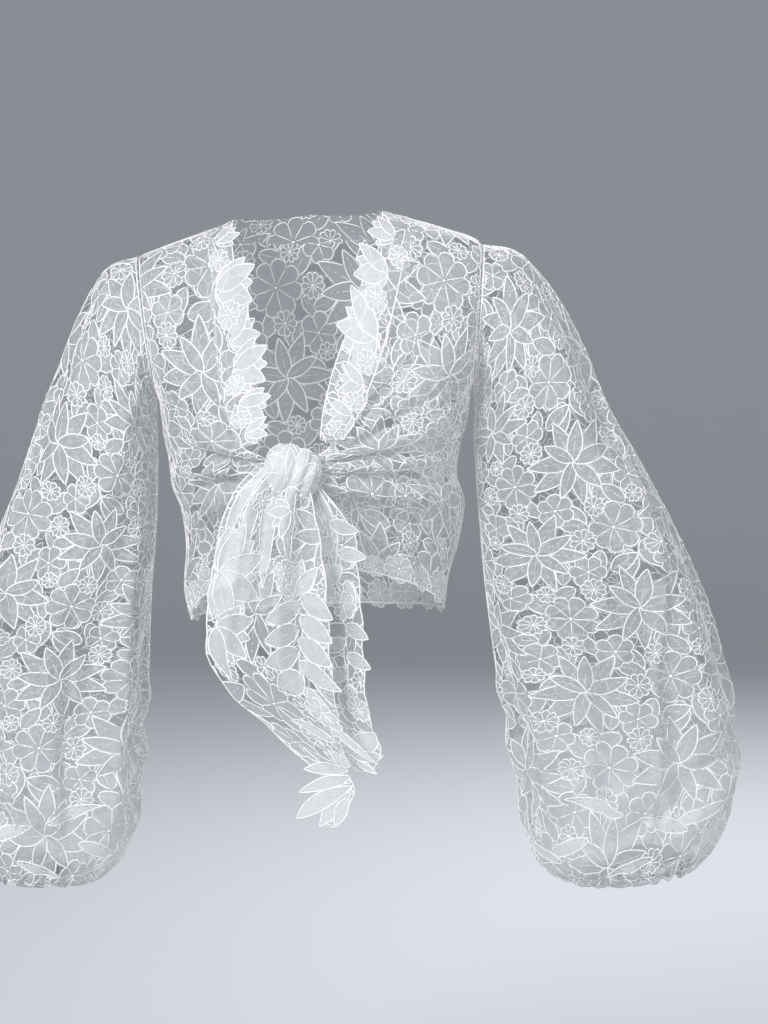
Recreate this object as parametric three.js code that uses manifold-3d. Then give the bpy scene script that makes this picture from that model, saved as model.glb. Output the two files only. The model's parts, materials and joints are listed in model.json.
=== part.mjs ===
// Tie-front blouse of cut-work lace, worn shape, in millimetres.
// X runs to the wearer's left, Y to the back, Z up. The origin lies between the shoulders,
// level with the shoulder seams, where the wearer's shoulders hold the blouse.
//
// Every cloth piece is cut flat, in cloth coordinates s (across) and t (down), with the gaps
// of the lace cut through it. A surface worked out from a short table of rows then gives each
// flat point its place on the worn blouse, and the wall is raised on both sides of it.

import * as THREE from 'three';
import Module from 'manifold-3d';
import { mergeVertices } from 'three/addons/utils/BufferGeometryUtils.js';

const wasm = await Module();
wasm.setup();

// Driving sizes
const wall = 1.2;
const seamGap = 0.9;
const weld = 1e-4;
const frontLength = 430;
const backLength = 415;
const sleeveLength = 700;
const armhole = { top: { x: 171, z: -6 }, pit: { x: 157, z: -146 }, depth: 56 };
const seamInset = seamGap / 2;
const torsoPitch = 22;
const bandPitch = 18;
const bandCrown = 3;
const sleevePitch = 28;
const tailPitch = 17;
const cuffPleats = 20;
const cuffZone = 62;
const cuffRadius = 29.5;
const cuffHeight = 12;
const cuffWall = 2;
const cuffBevel = 0.5;
const gatherRoom = 12;
const cuffStart = sleeveLength - cuffZone - gatherRoom;
const pleatHeight = 6.4;
const pleatRoom = 2.4;
const knotCentre = { x: -23, y: -141, z: -208 };
const knotHalf = { x: 30, y: 21, z: 25 };
const knotGap = 0.35;
const knotRidge = { height: 0.05, across: 5.6, up: 7.7, flat: 4 };
const knotBlock = { share: 0.4, power: 3 };
// The hem's scallops, how far they lie above the hem line, and over how long a way, as a share of
// the edge's length, they begin at the corners of each piece
const hemScallop = { pitch: 43, depth: 7, above: 4 };
const scallopStart = { front: 1 / 8, back: 1 / 12, tail: 1 / 6 };
// How far from the edges of each piece its folds come to their whole height
const foldRoom = { torso: 14, sleeve: 16, top: 20, band: 30, cuff: 30, cap: 6 };
const foldEndShare = 0.45;
// How a torso row falls from its inner end to its outer end: evenly, and with the curve
const rowFall = { even: 0.35, curved: 0.65 };
// The grid of flat points inside a wall, as shares of its pitch
const grid = { rise: 0.87, first: 0.6, clearOfEdge: 0.5, clearOfGap: 0.45 };
const gridShift = 0.4;

// Lace repeat, charted flat: the tile, its motifs and the filling leaves
const tile = { width: 160, height: 168 };
const motifs = rowsOf('kind x y radius petals turn', [
  ['flower', 112, 40, 27, 8, 10],
  ['flower', 34, 124, 27, 8, 30],
  ['flower', 82, 84, 19, 6, 15],
  ['flower', 154, 82, 20, 6, 40],
  ['flower', 78, 160, 18, 6, 40],
  ['flower', 158, 4, 17, 6, 40],
  ['spray', 42, 44, 50, 10, 12],
  ['spray', 120, 126, 50, 10, 30],
  ['rosette', 80, 12, 12, 10, 0],
  ['rosette', 150, 40, 12, 10, 0],
  ['rosette', 120, 72, 12, 9, 0],
  ['rosette', 44, 96, 11, 9, 0],
  ['rosette', 4, 154, 12, 10, 0],
  ['rosette', 70, 126, 13, 9, 0],
  ['rosette', 128, 8, 10, 9, 0],
  ['rosette', 2, 100, 9, 8, 0],
]);
const sprayLeafLengths = [1.0, 0.86, 0.94, 0.8];
const sprayLeafWidth = 0.2;
const leafFullness = 0.8;
const petalNotch = 0.16;
const fillLeaves = rowsOf('x y turn length width', [
  [34, 98, 262, 34, 0.27],
  [40, 92, 222, 36, 0.24],
  [14, 104, 300, 30, 0.26],
  [62, 112, 280, 28, 0.26],
  [84, 100, 150, 30, 0.26],
  [112, 60, 120, 30, 0.27],
  [124, 66, 85, 30, 0.24],
  [138, 70, 110, 26, 0.26],
  [46, 150, 250, 30, 0.26],
  [30, 150, 75, 32, 0.27],
  [58, 142, 60, 30, 0.27],
  [16, 146, 100, 34, 0.25],
  [56, 166, 195, 34, 0.25],
  [92, 150, 330, 30, 0.27],
  [106, 168, 250, 28, 0.26],
  [96, 6, 20, 30, 0.25],
  [132, 30, 300, 34, 0.26],
  [138, 50, 35, 30, 0.26],
  [150, 60, 340, 26, 0.27],
  [160, 118, 200, 32, 0.25],
  [4, 118, 80, 28, 0.27],
  [84, 138, 300, 22, 0.3],
]);
// The middles of the gaps left open between the motifs, the largest first
const gapMiddles = rowsOf('x y', [
  [5, 24],
  [83, 28],
  [90, 64],
  [111, 90],
  [144, 155],
  [52, 146],
  [90, 143],
  [58, 73],
]);
const gapKinds = 8;
// Where the tile's corner lies on each flat piece
const laceShift = {
  front_left: { s: 20, t: 30 },
  front_right: { s: 64, t: 96 },
  back: { s: 10, t: 52 },
  tail_right: { s: 96, t: 20 },
  tail_left: { s: 30, t: 110 },
  sleeve_left: { s: 58, t: 8 },
  sleeve_right: { s: 118, t: 60 },
};
const gapSides = 6;
const gapReach = { least: 2.6, most: 13, step: 0.4 };
const gapTurn = 0.25;
const gapMargin = 7;

// Rows of the worn surfaces, from the shoulder (v 0) to the hem (v 1). Down to the armpit the
// outer end of a row lies on the armhole, at the given angle; below it, on the side seam.
const frontRows = rowsOf('v zIn yIn xInLeft xInRight angle xOutLeft xOutRight zOut', [
  [0, 18, -1, 99, 97, 0, 157, 157, -146],
  [0.05, 12, -24, 97, 96, 24, 157, 157, -146],
  [0.12, -12, -52, 92, 94, 50, 157, 157, -146],
  [0.2, -52, -82, 82, 93, 76, 157, 157, -146],
  [0.28, -92, -104, 70, 91, 102, 157, 157, -146],
  [0.37, -132, -118, 54, 86, 134, 157, 157, -146],
  [0.46, -164, -126, 38, 78, 180, 157, 157, -146],
  [0.54, -188, -134, 12, 66, 180, 151, 154, -184],
  [0.6, -198, -138, -2, 46, 180, 143, 150, -208],
  [0.67, -210, -138, -4, 44, 180, 139, 148, -236],
  [0.74, -224, -132, -8, 40, 180, 146, 139, -264],
  [0.82, -252, -112, -20.6, 21.8, 180, 140, 136, -300],
  [0.91, -284, -103, -20.6, 21.8, 180, 127, 140, -342],
  [1, -312, -98, -20.6, 21.8, 180, 121, 133, -382],
]);
const backRows = rowsOf('v zIn yIn angle xOutLeft xOutRight zOut', [
  [0, 50, 2, 0, 157, 157, -146],
  [0.05, 32, 31, 24, 157, 157, -146],
  [0.12, 3, 57, 50, 157, 157, -146],
  [0.2, -36, 77, 76, 157, 157, -146],
  [0.28, -76, 88, 102, 157, 157, -146],
  [0.37, -118, 95, 134, 157, 157, -146],
  [0.46, -154, 96, 180, 157, 157, -146],
  [0.54, -188, 94, 180, 151, 154, -184],
  [0.6, -212, 92, 180, 143, 150, -208],
  [0.67, -240, 89, 180, 139, 148, -236],
  [0.74, -268, 88, 180, 146, 139, -264],
  [0.82, -304, 87, 180, 140, 136, -300],
  [0.91, -346, 90, 180, 127, 140, -342],
  [1, -388, 96, 180, 121, 133, -382],
]);
const armpitRow = 0.46;
const shoulderEnd = 0.2;
// How far each shoulder seam is bowed up between neck and armhole
const shoulderCrown = { left: 6, right: 1 };
// The back neck band, cut flat on the back: its seam and its free edge are half ellipses
const neckSeam = { half: 98, dip: 54 };
const neckEdge = { half: 72, dip: 25 };

// Free edges of the two front bands, from the neck to the knot
const bandRows = rowsOf('v xLeft xRight z y', [
  [0, 72, 74, 27, 2],
  [0.05, 71, 76, 20, -26],
  [0.12, 66, 74, -6, -50],
  [0.2, 46, 63, -42, -76],
  [0.28, 31, 57, -84, -98],
  [0.37, 16, 53, -124, -116],
  [0.46, 7, 53, -158, -127],
  [0.53, 4, 50, -180, -136],
]);
const bandEnd = 0.53;
// Leaf sprays that stand past the band's edge: where along it, how far, how long
const bandSprays = {
  left: rowsOf('v reach half', [[0.16, 12, 0.03], [0.23, 9, 0.03], [0.34, 8, 0.04], [0.44, 5, 0.03]]),
  right: rowsOf('v reach half', [[0.14, 22, 0.03], [0.29, 14, 0.04], [0.39, 13, 0.03], [0.5, 8, 0.02]]),
};

// Rings of the sleeves, from the armhole to the wrist: outer line, underarm line, depth
const leftSleeveRings = rowsOf('v xOut zOut xIn zIn depth y cut', [
  [0, 172.5, -6, 158.6, -147.5, 57, 0, 424],
  [0.04, 201, -11, 159.4, -160, 60, 0, 440],
  [0.1, 235, -44, 159, -174, 64, 0, 452],
  [0.18, 267, -101, 158, -200, 67, -2, 470],
  [0.27, 291, -165, 159, -240, 70, -4, 492],
  [0.37, 325, -230, 161, -293, 73, -7, 520],
  [0.47, 358, -297, 164, -345, 76, -9, 548],
  [0.57, 386, -364, 169, -400, 79, -11, 572],
  [0.67, 404, -430, 175, -455, 82, -13, 590],
  [0.76, 414, -495, 183, -510, 84, -14, 600],
  [0.83, 415, -546, 190, -558, 82, -15, 604],
  [0.88, 406, -592, 197, -603, 77, -15, 604],
  [0.92, 388, -626, 212, -637, 67, -15, 600],
  [0.955, 364, -645, 244, -653, 52, -15, 596],
  [0.98, 358, -646, 281, -650, 39, -15, 592],
  [1, 358, -634, 286, -634, 37, -15, 590],
]);
const rightSleeveRings = rowsOf('v xOut zOut xIn zIn depth y cut', [
  [0, 172.5, -6, 158.6, -147.5, 57, 0, 424],
  [0.04, 199, -13, 160, -160, 60, 0, 440],
  [0.1, 228, -50, 160.5, -176, 64, 0, 452],
  [0.18, 254, -107, 161, -204, 67, -2, 470],
  [0.27, 280, -169, 163, -244, 70, -4, 492],
  [0.37, 306, -236, 167, -293, 72, -7, 520],
  [0.47, 336, -300, 173, -343, 75, -9, 546],
  [0.57, 364, -362, 177, -396, 78, -11, 566],
  [0.67, 384, -424, 181, -450, 80, -13, 580],
  [0.76, 395, -484, 187, -502, 81, -14, 590],
  [0.83, 397, -532, 191, -550, 79, -15, 592],
  [0.88, 390, -574, 202, -591, 75, -15, 592],
  [0.92, 376, -604, 220, -621, 66, -15, 590],
  [0.955, 361, -622, 248, -634, 52, -15, 588],
  [0.98, 358, -624, 283, -629, 39, -15, 586],
  [1, 358, -612, 286, -612, 37, -15, 585],
]);

// Rows of the two hanging ends of the tie
const tailRightRows = rowsOf('v xLeft zLeft xRight zRight y cut', [
  [0, -53, -199, -14, -212, -148, 92],
  [0.06, -75, -221, -6, -232, -153, 108],
  [0.14, -89, -247, -2, -260, -155, 122],
  [0.26, -100, -292, 3, -304, -153, 134],
  [0.38, -108, -336, 5, -352, -150, 142],
  [0.5, -112, -380, 6, -402, -147, 144],
  [0.6, -92, -424, 10, -444, -144, 124],
  [0.7, -56, -460, 14, -482, -141, 84],
  [0.8, -26, -500, 19, -508, -139, 52],
  [0.9, -28, -530, 24, -532, -138, 56],
  [1, -16, -562, 2, -564, -137, 22],
]);
const tailRightLength = 372;
const tailLeftRows = rowsOf('v xLeft zLeft xRight zRight y cut', [
  [0, -24, -214, 0, -222, -141, 62],
  [0.08, -26, -238, 18, -246, -139, 70],
  [0.18, -27, -268, 34, -276, -132, 78],
  [0.34, -26, -318, 36, -320, -127, 82],
  [0.5, -24, -366, 38, -368, -122, 82],
  [0.66, -22, -416, 38, -418, -121, 78],
  [0.8, -10, -458, 42, -462, -120, 66],
  [0.9, 12, -488, 51, -490, -120, 44],
  [1, 27, -512, 44, -514, -120, 18],
]);
const tailLeftLength = 304;

// Folds: a soft ridge, or a trough where the height is below zero, along a line on the cloth
const frontLeftFolds = rowsOf('s0 t0 s1 t1 half height', [
  [4, 232, 120, 118, 9, 7],
  [6, 250, 140, 168, 9, 7],
  [0, 262, 150, 210, 8, -6],
  [2, 272, 154, 236, 9, 8],
  [0, 284, 152, 270, 8, -7],
  [0, 300, 152, 300, 10, 8],
  [-4, 318, 146, 330, 9, -7],
  [-6, 340, 134, 366, 13, 8],
  [30, 200, 96, 60, 9, -5],
  [60, 330, 146, 392, 9, -7],
  [96, 300, 120, 420, 10, 5],
  [48, 352, 64, 428, 10, 6],
]);
const frontRightFolds = rowsOf('s0 t0 s1 t1 half height', [
  [46, 236, 132, 130, 9, 6],
  [46, 256, 150, 196, 9, -6],
  [46, 268, 158, 232, 10, 8],
  [46, 286, 156, 270, 8, -7],
  [46, 302, 154, 304, 10, 8],
  [46, 322, 148, 338, 9, -7],
  [42, 344, 140, 376, 12, 7],
  [104, 210, 122, 40, 9, -5],
  [70, 346, 136, 404, 9, -6],
  [96, 340, 112, 424, 10, 5],
]);
const backFolds = rowsOf('s0 t0 s1 t1 half height', [
  [-150, 262, 120, 276, 12, -6],
  [-130, 318, 150, 306, 13, 6],
  [-110, 210, -30, 96, 12, -4],
  [104, 214, 36, 80, 12, -4],
  [-80, 300, -92, 412, 12, 6],
  [-20, 306, -14, 412, 12, -5],
  [58, 300, 70, 412, 12, 6],
]);
const sleeveFolds = rowsOf('s0 t0 s1 t1 half height', [
  [24, 40, 40, 250, 12, -6],
  [60, 20, 84, 300, 12, 6],
  [112, 60, 96, 330, 11, -6],
  [150, 40, 140, 420, 12, 6],
  [60, 240, 64, 600, 15, 8],
  [96, 300, 104, 640, 13, -9],
  [140, 330, 150, 650, 15, 9],
  [186, 260, 196, 640, 13, -8],
  [226, 300, 236, 640, 14, 8],
  [18, 330, 24, 640, 13, -8],
  [262, 380, 270, 640, 12, -7],
]);
const tailRightFolds = rowsOf('s0 t0 s1 t1 half height', [
  [30, 10, 22, 200, 9, 7],
  [52, 20, 60, 190, 9, -9],
  [78, 6, 86, 230, 10, 9],
  [100, 30, 112, 200, 8, -8],
  [40, 200, 44, 330, 9, 5],
]);
const tailLeftFolds = rowsOf('s0 t0 s1 t1 half height', [
  [18, 8, 16, 220, 8, 5],
  [38, 10, 40, 250, 8, -6],
  [58, 20, 60, 230, 8, 5],
]);

// Colours of the cloth and of the tied parts
const laceWhite = 0xf2f3f4;
const laceShade = 0xe6e8ea;
const knotWhite = 0xf7f7f7;
const clothRoughness = 0.75;

function rowsOf(names, rows) {
  const columns = names.split(' ');
  return rows.map((row) => Object.fromEntries(columns.map((name, i) => [name, row[i]])));
}

// Values of every column at height v, on smooth curves through the rows
function rowAt(rows, v) {
  let i = 0;
  while (i < rows.length - 2 && v > rows[i + 1].v) {
    i += 1;
  }
  const a = rows[i];
  const b = rows[i + 1];
  const span = b.v - a.v;
  const f = Math.min(Math.max((v - a.v) / span, 0), 1);
  const secant = (k, name) => (rows[k + 1][name] - rows[k][name]) / (rows[k + 1].v - rows[k].v);
  // The harmonic mean of the two secants never overshoots a row
  const slope = (k, name) => {
    if (k === 0 || k === rows.length - 1) {
      return secant(Math.min(k, rows.length - 2), name);
    }
    const before = secant(k - 1, name);
    const after = secant(k, name);
    return before * after > 0 ? (2 * before * after) / (before + after) : 0;
  };
  const out = {};
  for (const name of Object.keys(a)) {
    const m0 = slope(i, name) * span;
    const m1 = slope(i + 1, name) * span;
    const f2 = f * f;
    const f3 = f2 * f;
    out[name] =
      (2 * f3 - 3 * f2 + 1) * a[name] +
      (f3 - 2 * f2 + f) * m0 +
      (3 * f2 - 2 * f3) * b[name] +
      (f3 - f2) * m1;
  }
  return out;
}

// A point at share u of the length of a curve given for q from 0 to 1
function alongCurve(curve, u) {
  const steps = 20;
  const points = [];
  const lengths = [0];
  for (let i = 0; i <= steps; i += 1) {
    points.push(curve(i / steps));
    if (i > 0) {
      lengths.push(lengths[i - 1] + points[i].distanceTo(points[i - 1]));
    }
  }
  const wanted = u * lengths[steps];
  let k = 0;
  while (k < steps - 1 && lengths[k + 1] < wanted) {
    k += 1;
  }
  const part = (wanted - lengths[k]) / (lengths[k + 1] - lengths[k]);
  return points[k].clone().lerp(points[k + 1], part);
}

function curveLength(curve) {
  const steps = 20;
  let sum = 0;
  for (let i = 0; i < steps; i += 1) {
    sum += curve(i / steps).distanceTo(curve((i + 1) / steps));
  }
  return sum;
}

// Height of the folds at a flat point
function foldHeight(folds, s, t) {
  let sum = 0;
  for (const fold of folds) {
    const ds = fold.s1 - fold.s0;
    const dt = fold.t1 - fold.t0;
    const along = ((s - fold.s0) * ds + (t - fold.t0) * dt) / (ds * ds + dt * dt);
    const near = Math.min(Math.max(along, 0), 1);
    const off = Math.hypot(s - fold.s0 - near * ds, t - fold.t0 - near * dt);
    const taper = foldEndShare + (1 - foldEndShare) * Math.sin(Math.PI * near);
    sum += fold.height * taper * Math.exp(-((off / fold.half) ** 2));
  }
  return sum;
}

// Lace: how far a flat point lies inside the nearest motif, below zero in a gap
function leafInside(s, t, x, y, turn, length, width) {
  const ds = wrap(s - x, tile.width);
  const dt = wrap(t - y, tile.height);
  const a = THREE.MathUtils.degToRad(turn);
  const along = (ds * Math.cos(a) + dt * Math.sin(a)) / length;
  const across = -ds * Math.sin(a) + dt * Math.cos(a);
  const near = Math.min(Math.max(along, 0), 1);
  const half = width * Math.sin(Math.PI * near ** leafFullness) ** leafFullness;
  return half - Math.abs(across) - Math.abs(along - near) * length * 2;
}

function wrap(d, size) {
  return d - size * Math.round(d / size);
}

function motifInside(s, t, motif) {
  const { kind, x, y, radius, petals, turn } = motif;
  if (kind === 'spray') {
    let best = -Infinity;
    for (let i = 0; i < petals; i += 1) {
      const length = radius * sprayLeafLengths[i % sprayLeafLengths.length];
      const leafTurn = turn + (360 * i) / petals;
      best = Math.max(best, leafInside(s, t, x, y, leafTurn, length, length * sprayLeafWidth));
    }
    return best;
  }
  const ds = wrap(s - x, tile.width);
  const dt = wrap(t - y, tile.height);
  const angle = Math.atan2(dt, ds) - THREE.MathUtils.degToRad(turn);
  const scallop = Math.sqrt(Math.abs(Math.cos((angle * petals) / 2)));
  return radius * (1 - petalNotch + petalNotch * scallop) - Math.hypot(ds, dt);
}

function laceInside(s, t) {
  let best = -Infinity;
  for (const motif of motifs) {
    best = Math.max(best, motifInside(s, t, motif));
  }
  for (const leaf of fillLeaves) {
    best = Math.max(best, leafInside(s, t, leaf.x, leaf.y, leaf.turn, leaf.length, leaf.length * leaf.width));
  }
  return best;
}

// The outline of each gap of one tile, found from its middle out to the motifs' edges
const gapOutlines = gapMiddles.map((middle) => {
  const outline = [];
  for (let k = 0; k < gapSides; k += 1) {
    const angle = (2 * Math.PI * (k + gapTurn)) / gapSides;
    const rayPoint = (r) => [middle.x + r * Math.cos(angle), middle.y + r * Math.sin(angle)];
    let r = gapReach.least;
    while (r < gapReach.most && laceInside(...rayPoint(r)) < gapReach.step) {
      r += gapReach.step;
    }
    outline.push(rayPoint(r));
  }
  return outline;
});

function insidePolygon(polygon, s, t) {
  let inside = false;
  for (let i = 0, j = polygon.length - 1; i < polygon.length; j = i, i += 1) {
    const [si, ti] = polygon[i];
    const [sj, tj] = polygon[j];
    if (ti > t !== tj > t && s < ((sj - si) * (t - ti)) / (tj - ti) + si) {
      inside = !inside;
    }
  }
  return inside;
}

function distanceToPolygon(polygon, s, t) {
  let best = Infinity;
  for (let i = 0; i < polygon.length; i += 1) {
    const [s0, t0] = polygon[i];
    const [s1, t1] = polygon[(i + 1) % polygon.length];
    const ds = s1 - s0;
    const dt = t1 - t0;
    const along = Math.min(Math.max(((s - s0) * ds + (t - t0) * dt) / (ds * ds + dt * dt), 0), 1);
    best = Math.min(best, Math.hypot(s - s0 - along * ds, t - t0 - along * dt));
  }
  return best;
}

// Delaunay triangles of flat points
function triangulate(points) {
  const far = 5000;
  const all = [...points, [-far, -far], [far, -far], [0, far]];
  const n = points.length;
  let triangles = [circled(all, n, n + 1, n + 2)];
  for (let p = 0; p < n; p += 1) {
    const [s, t] = all[p];
    const rim = new Map();
    const kept = [];
    for (const tri of triangles) {
      if ((s - tri.s) ** 2 + (t - tri.t) ** 2 < tri.rr) {
        for (const [a, b] of [[tri.a, tri.b], [tri.b, tri.c], [tri.c, tri.a]]) {
          const back = `${b},${a}`;
          if (rim.has(back)) {
            rim.delete(back);
          } else {
            rim.set(`${a},${b}`, [a, b]);
          }
        }
      } else {
        kept.push(tri);
      }
    }
    for (const [a, b] of rim.values()) {
      kept.push(circled(all, a, b, p));
    }
    triangles = kept;
  }
  return triangles.filter((tri) => tri.a < n && tri.b < n && tri.c < n).map((tri) => [tri.a, tri.b, tri.c]);
}

function circled(points, a, b, c) {
  const [ax, ay] = points[a];
  const bx = points[b][0] - ax;
  const by = points[b][1] - ay;
  const cx = points[c][0] - ax;
  const cy = points[c][1] - ay;
  const d = 2 * (bx * cy - by * cx);
  const bb = bx * bx + by * by;
  const cc = cx * cx + cy * cy;
  const ux = (cy * bb - by * cc) / d;
  const uy = (bx * cc - cx * bb) / d;
  return { a, b, c, s: ax + ux, t: ay + uy, rr: ux * ux + uy * uy };
}

// The gaps of the lace that lie whole inside a flat outline
function gapsInside(outline, shift, keep) {
  const ss = outline.map((p) => p[0]);
  const ts = outline.map((p) => p[1]);
  const found = [];
  const firstColumn = Math.floor((Math.min(...ss) - shift.s) / tile.width) - 1;
  const lastColumn = Math.ceil((Math.max(...ss) - shift.s) / tile.width) + 1;
  const firstRow = Math.floor((Math.min(...ts) - shift.t) / tile.height) - 1;
  const lastRow = Math.ceil((Math.max(...ts) - shift.t) / tile.height) + 1;
  for (let i = firstColumn; i <= lastColumn; i += 1) {
    for (let j = firstRow; j <= lastRow; j += 1) {
      for (const gap of gapOutlines.slice(0, keep)) {
        const moved = gap.map(([x, y]) => [x + shift.s + i * tile.width, y + shift.t + j * tile.height]);
        const clear = moved.every(
          ([s, t]) => insidePolygon(outline, s, t) && distanceToPolygon(outline, s, t) > gapMargin,
        );
        if (clear) {
          found.push(moved);
        }
      }
    }
  }
  return found;
}

// A cloth wall: the flat outline is filled with points, its gaps are cut, and every point is
// placed on the worn surface, half a wall out and half a wall in
function clothWall({ outline, gaps, pitch, place, extra = [], calm = 0 }) {
  const points = [...outline, ...gaps.flat(), ...extra];
  const ss = outline.map((p) => p[0]);
  const ts = outline.map((p) => p[1]);
  const rise = pitch * grid.rise;
  let odd = 0;
  for (let t = Math.min(...ts) + rise * grid.first; t < Math.max(...ts) - calm; t += rise) {
    for (let s = Math.min(...ss) + (odd * pitch) / 2; s < Math.max(...ss); s += pitch) {
      const free =
        insidePolygon(outline, s, t) &&
        distanceToPolygon(outline, s, t) > pitch * grid.clearOfEdge &&
        gaps.every((gap) => !insidePolygon(gap, s, t) && distanceToPolygon(gap, s, t) > pitch * grid.clearOfGap) &&
        extra.every((p) => Math.hypot(p[0] - s, p[1] - t) > pitch * grid.clearOfEdge);
      if (free) {
        // Small uneven shifts keep four points from lying on one circle
        points.push([s + Math.sin(s * 7 + t) * gridShift, t + Math.cos(s + t * 5) * gridShift]);
      }
    }
    odd = 1 - odd;
  }
  let triangles = triangulate(points).filter(([a, b, c]) => {
    const s = (points[a][0] + points[b][0] + points[c][0]) / 3;
    const t = (points[a][1] + points[b][1] + points[c][1]) / 3;
    return insidePolygon(outline, s, t) && !gaps.some((gap) => insidePolygon(gap, s, t));
  });
  triangles = triangles.map(([a, b, c]) => {
    const [p, q, r] = [points[a], points[b], points[c]];
    const area = (q[0] - p[0]) * (r[1] - p[1]) - (r[0] - p[0]) * (q[1] - p[1]);
    return area > 0 ? [a, b, c] : [a, c, b];
  });
  return raisedWall(points, triangles, place);
}

// Both faces of a wall and the narrow faces along its edges
function raisedWall(points, triangles, place) {
  const placed = points.map(([s, t]) => place(s, t));
  const normals = placed.map(() => new THREE.Vector3());
  for (const [a, b, c] of triangles) {
    const edge = placed[b].clone().sub(placed[a]);
    const normal = edge.cross(placed[c].clone().sub(placed[a]));
    normals[a].add(normal);
    normals[b].add(normal);
    normals[c].add(normal);
  }
  const n = points.length;
  const position = [];
  for (const side of [0.5, -0.5]) {
    placed.forEach((p, i) => {
      const q = p.clone().addScaledVector(normals[i].clone().normalize(), side * wall);
      position.push(q.x, q.y, q.z);
    });
  }
  const index = [];
  const edges = new Set();
  for (const [a, b, c] of triangles) {
    index.push(a, b, c, a + n, c + n, b + n);
    edges.add(`${a},${b}`).add(`${b},${c}`).add(`${c},${a}`);
  }
  for (const edge of edges) {
    const [a, b] = edge.split(',').map(Number);
    if (!edges.has(`${b},${a}`)) {
      index.push(a, a + n, b, b, a + n, b + n);
    }
  }
  const geometry = new THREE.BufferGeometry();
  geometry.setAttribute('position', new THREE.Float32BufferAttribute(position, 3));
  geometry.setIndex(index);
  return geometry;
}

// Points of a side of a flat outline, at even shares of it
function sampled(count, point) {
  return Array.from({ length: count }, (_, i) => point(i / count));
}

function solidOf(geometry) {
  const bare = geometry.clone();
  bare.deleteAttribute('normal');
  bare.deleteAttribute('uv');
  const merged = mergeVertices(bare, weld);
  const mesh = new wasm.Mesh({
    numProp: 3,
    vertProperties: new Float32Array(merged.attributes.position.array),
    triVerts: new Uint32Array(merged.index.array),
  });
  return new wasm.Manifold(mesh);
}

function geometryOf(solid) {
  const mesh = solid.getMesh();
  const geometry = new THREE.BufferGeometry();
  geometry.setAttribute('position', new THREE.BufferAttribute(mesh.vertProperties, 3));
  geometry.setIndex(new THREE.BufferAttribute(mesh.triVerts, 1));
  return geometry;
}

// Torso pieces
function scallop(s) {
  return hemScallop.depth * Math.abs(Math.sin((Math.PI * s) / hemScallop.pitch));
}

// The outer end of a torso row: on the armhole's ellipse, or on the side seam below it
function outerEnd(row, v, side) {
  if (v >= armpitRow) {
    return new THREE.Vector3(side === 'left' ? row.xOutLeft : row.xOutRight, 0, row.zOut);
  }
  const { top, pit, depth } = armhole;
  const angle = THREE.MathUtils.degToRad(row.angle);
  const x = (top.x + pit.x) / 2 + ((top.x - pit.x) / 2) * Math.cos(angle);
  const z = (top.z + pit.z) / 2 + ((top.z - pit.z) / 2) * Math.cos(angle);
  return new THREE.Vector3(x, depth * Math.sin(angle), z);
}

// One row of the torso, a quarter ellipse from its inner end round to its outer end. The top
// row is the straight slope of the shoulder, and rows below it turn gradually to the side.
function torsoRow(row, v, xIn, side) {
  const out = outerEnd(row, v, side);
  const yOut = Math.sign(row.yIn) * out.y;
  const slope = Math.max(0, 1 - v / shoulderEnd);
  const crown = slope * shoulderCrown[side];
  return (q) => {
    const angle = (q * Math.PI) / 2;
    const x = xIn + (out.x - xIn) * Math.sin(angle);
    const y = yOut + (row.yIn - yOut) * Math.cos(angle);
    const turned = rowFall.even * q + rowFall.curved * (1 - Math.cos(angle));
    const fall = slope * Math.sin(angle) + (1 - slope) * turned;
    const z = row.zIn + (out.z - row.zIn) * fall + crown * Math.sin(2 * angle);
    return new THREE.Vector3(x, y, z);
  };
}

function surfaceNormal(place, s, t) {
  const step = 1.5;
  const across = place(s + step, t).sub(place(s - step, t));
  const down = place(s, t + step).sub(place(s, t - step));
  return across.cross(down).normalize();
}

// The front surface: inner x of a row, its flat edges, and the worn place of a flat point
function frontSurface(side) {
  const onLeft = side === 'left';
  const hand = onLeft ? 1 : -1;
  const folds = onLeft ? frontLeftFolds : frontRightFolds;
  const inner = (row) => (onLeft ? row.xInLeft : row.xInRight);
  const edges = (v) => {
    const row = rowAt(frontRows, v);
    return [inner(row), inner(row) + curveLength(torsoRow(row, v, inner(row), side))];
  };
  const bare = (s, t) => {
    const v = t / frontLength;
    const row = rowAt(frontRows, v);
    const [s0, s1] = edges(v);
    const p = alongCurve(torsoRow(row, v, inner(row), side), (s - s0) / (s1 - s0));
    return new THREE.Vector3(hand * p.x, p.y, p.z);
  };
  const place = (s, t) => {
    const normal = surfaceNormal(bare, s, t).multiplyScalar(hand);
    return bare(s, t).addScaledVector(normal, foldFade(s, t, edges) * foldHeight(folds, s, t));
  };
  return { hand, edges, place, inner };
}

function frontPanel(side) {
  const { edges, place } = frontSurface(side);
  const top = seamInset;
  const width = (v) => edges(v)[1] - edges(v)[0] - 2 * seamInset;
  const count = { top: 4, side: 24, hem: 10 };
  const outline = [
    ...sampled(count.top, (f) => [edges(0)[0] + seamInset + f * width(0), top]),
    ...sampled(count.side, (f) => [edges(f)[1] - seamInset, top + f * (frontLength - top)]),
    ...sampled(count.hem, (f) => {
      const s = edges(1)[1] - seamInset - f * width(1);
      return [s, frontLength - hemScallop.above + scallop(s) * Math.min(1, f / scallopStart.front)];
    }),
    ...sampled(count.side, (f) => [edges(1 - f)[0] + seamInset, frontLength - f * (frontLength - top)]),
  ];
  const gaps = gapsInside(outline, laceShift[`front_${side}`], gapKinds);
  return { outline, gaps, pitch: torsoPitch, place };
}

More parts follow.
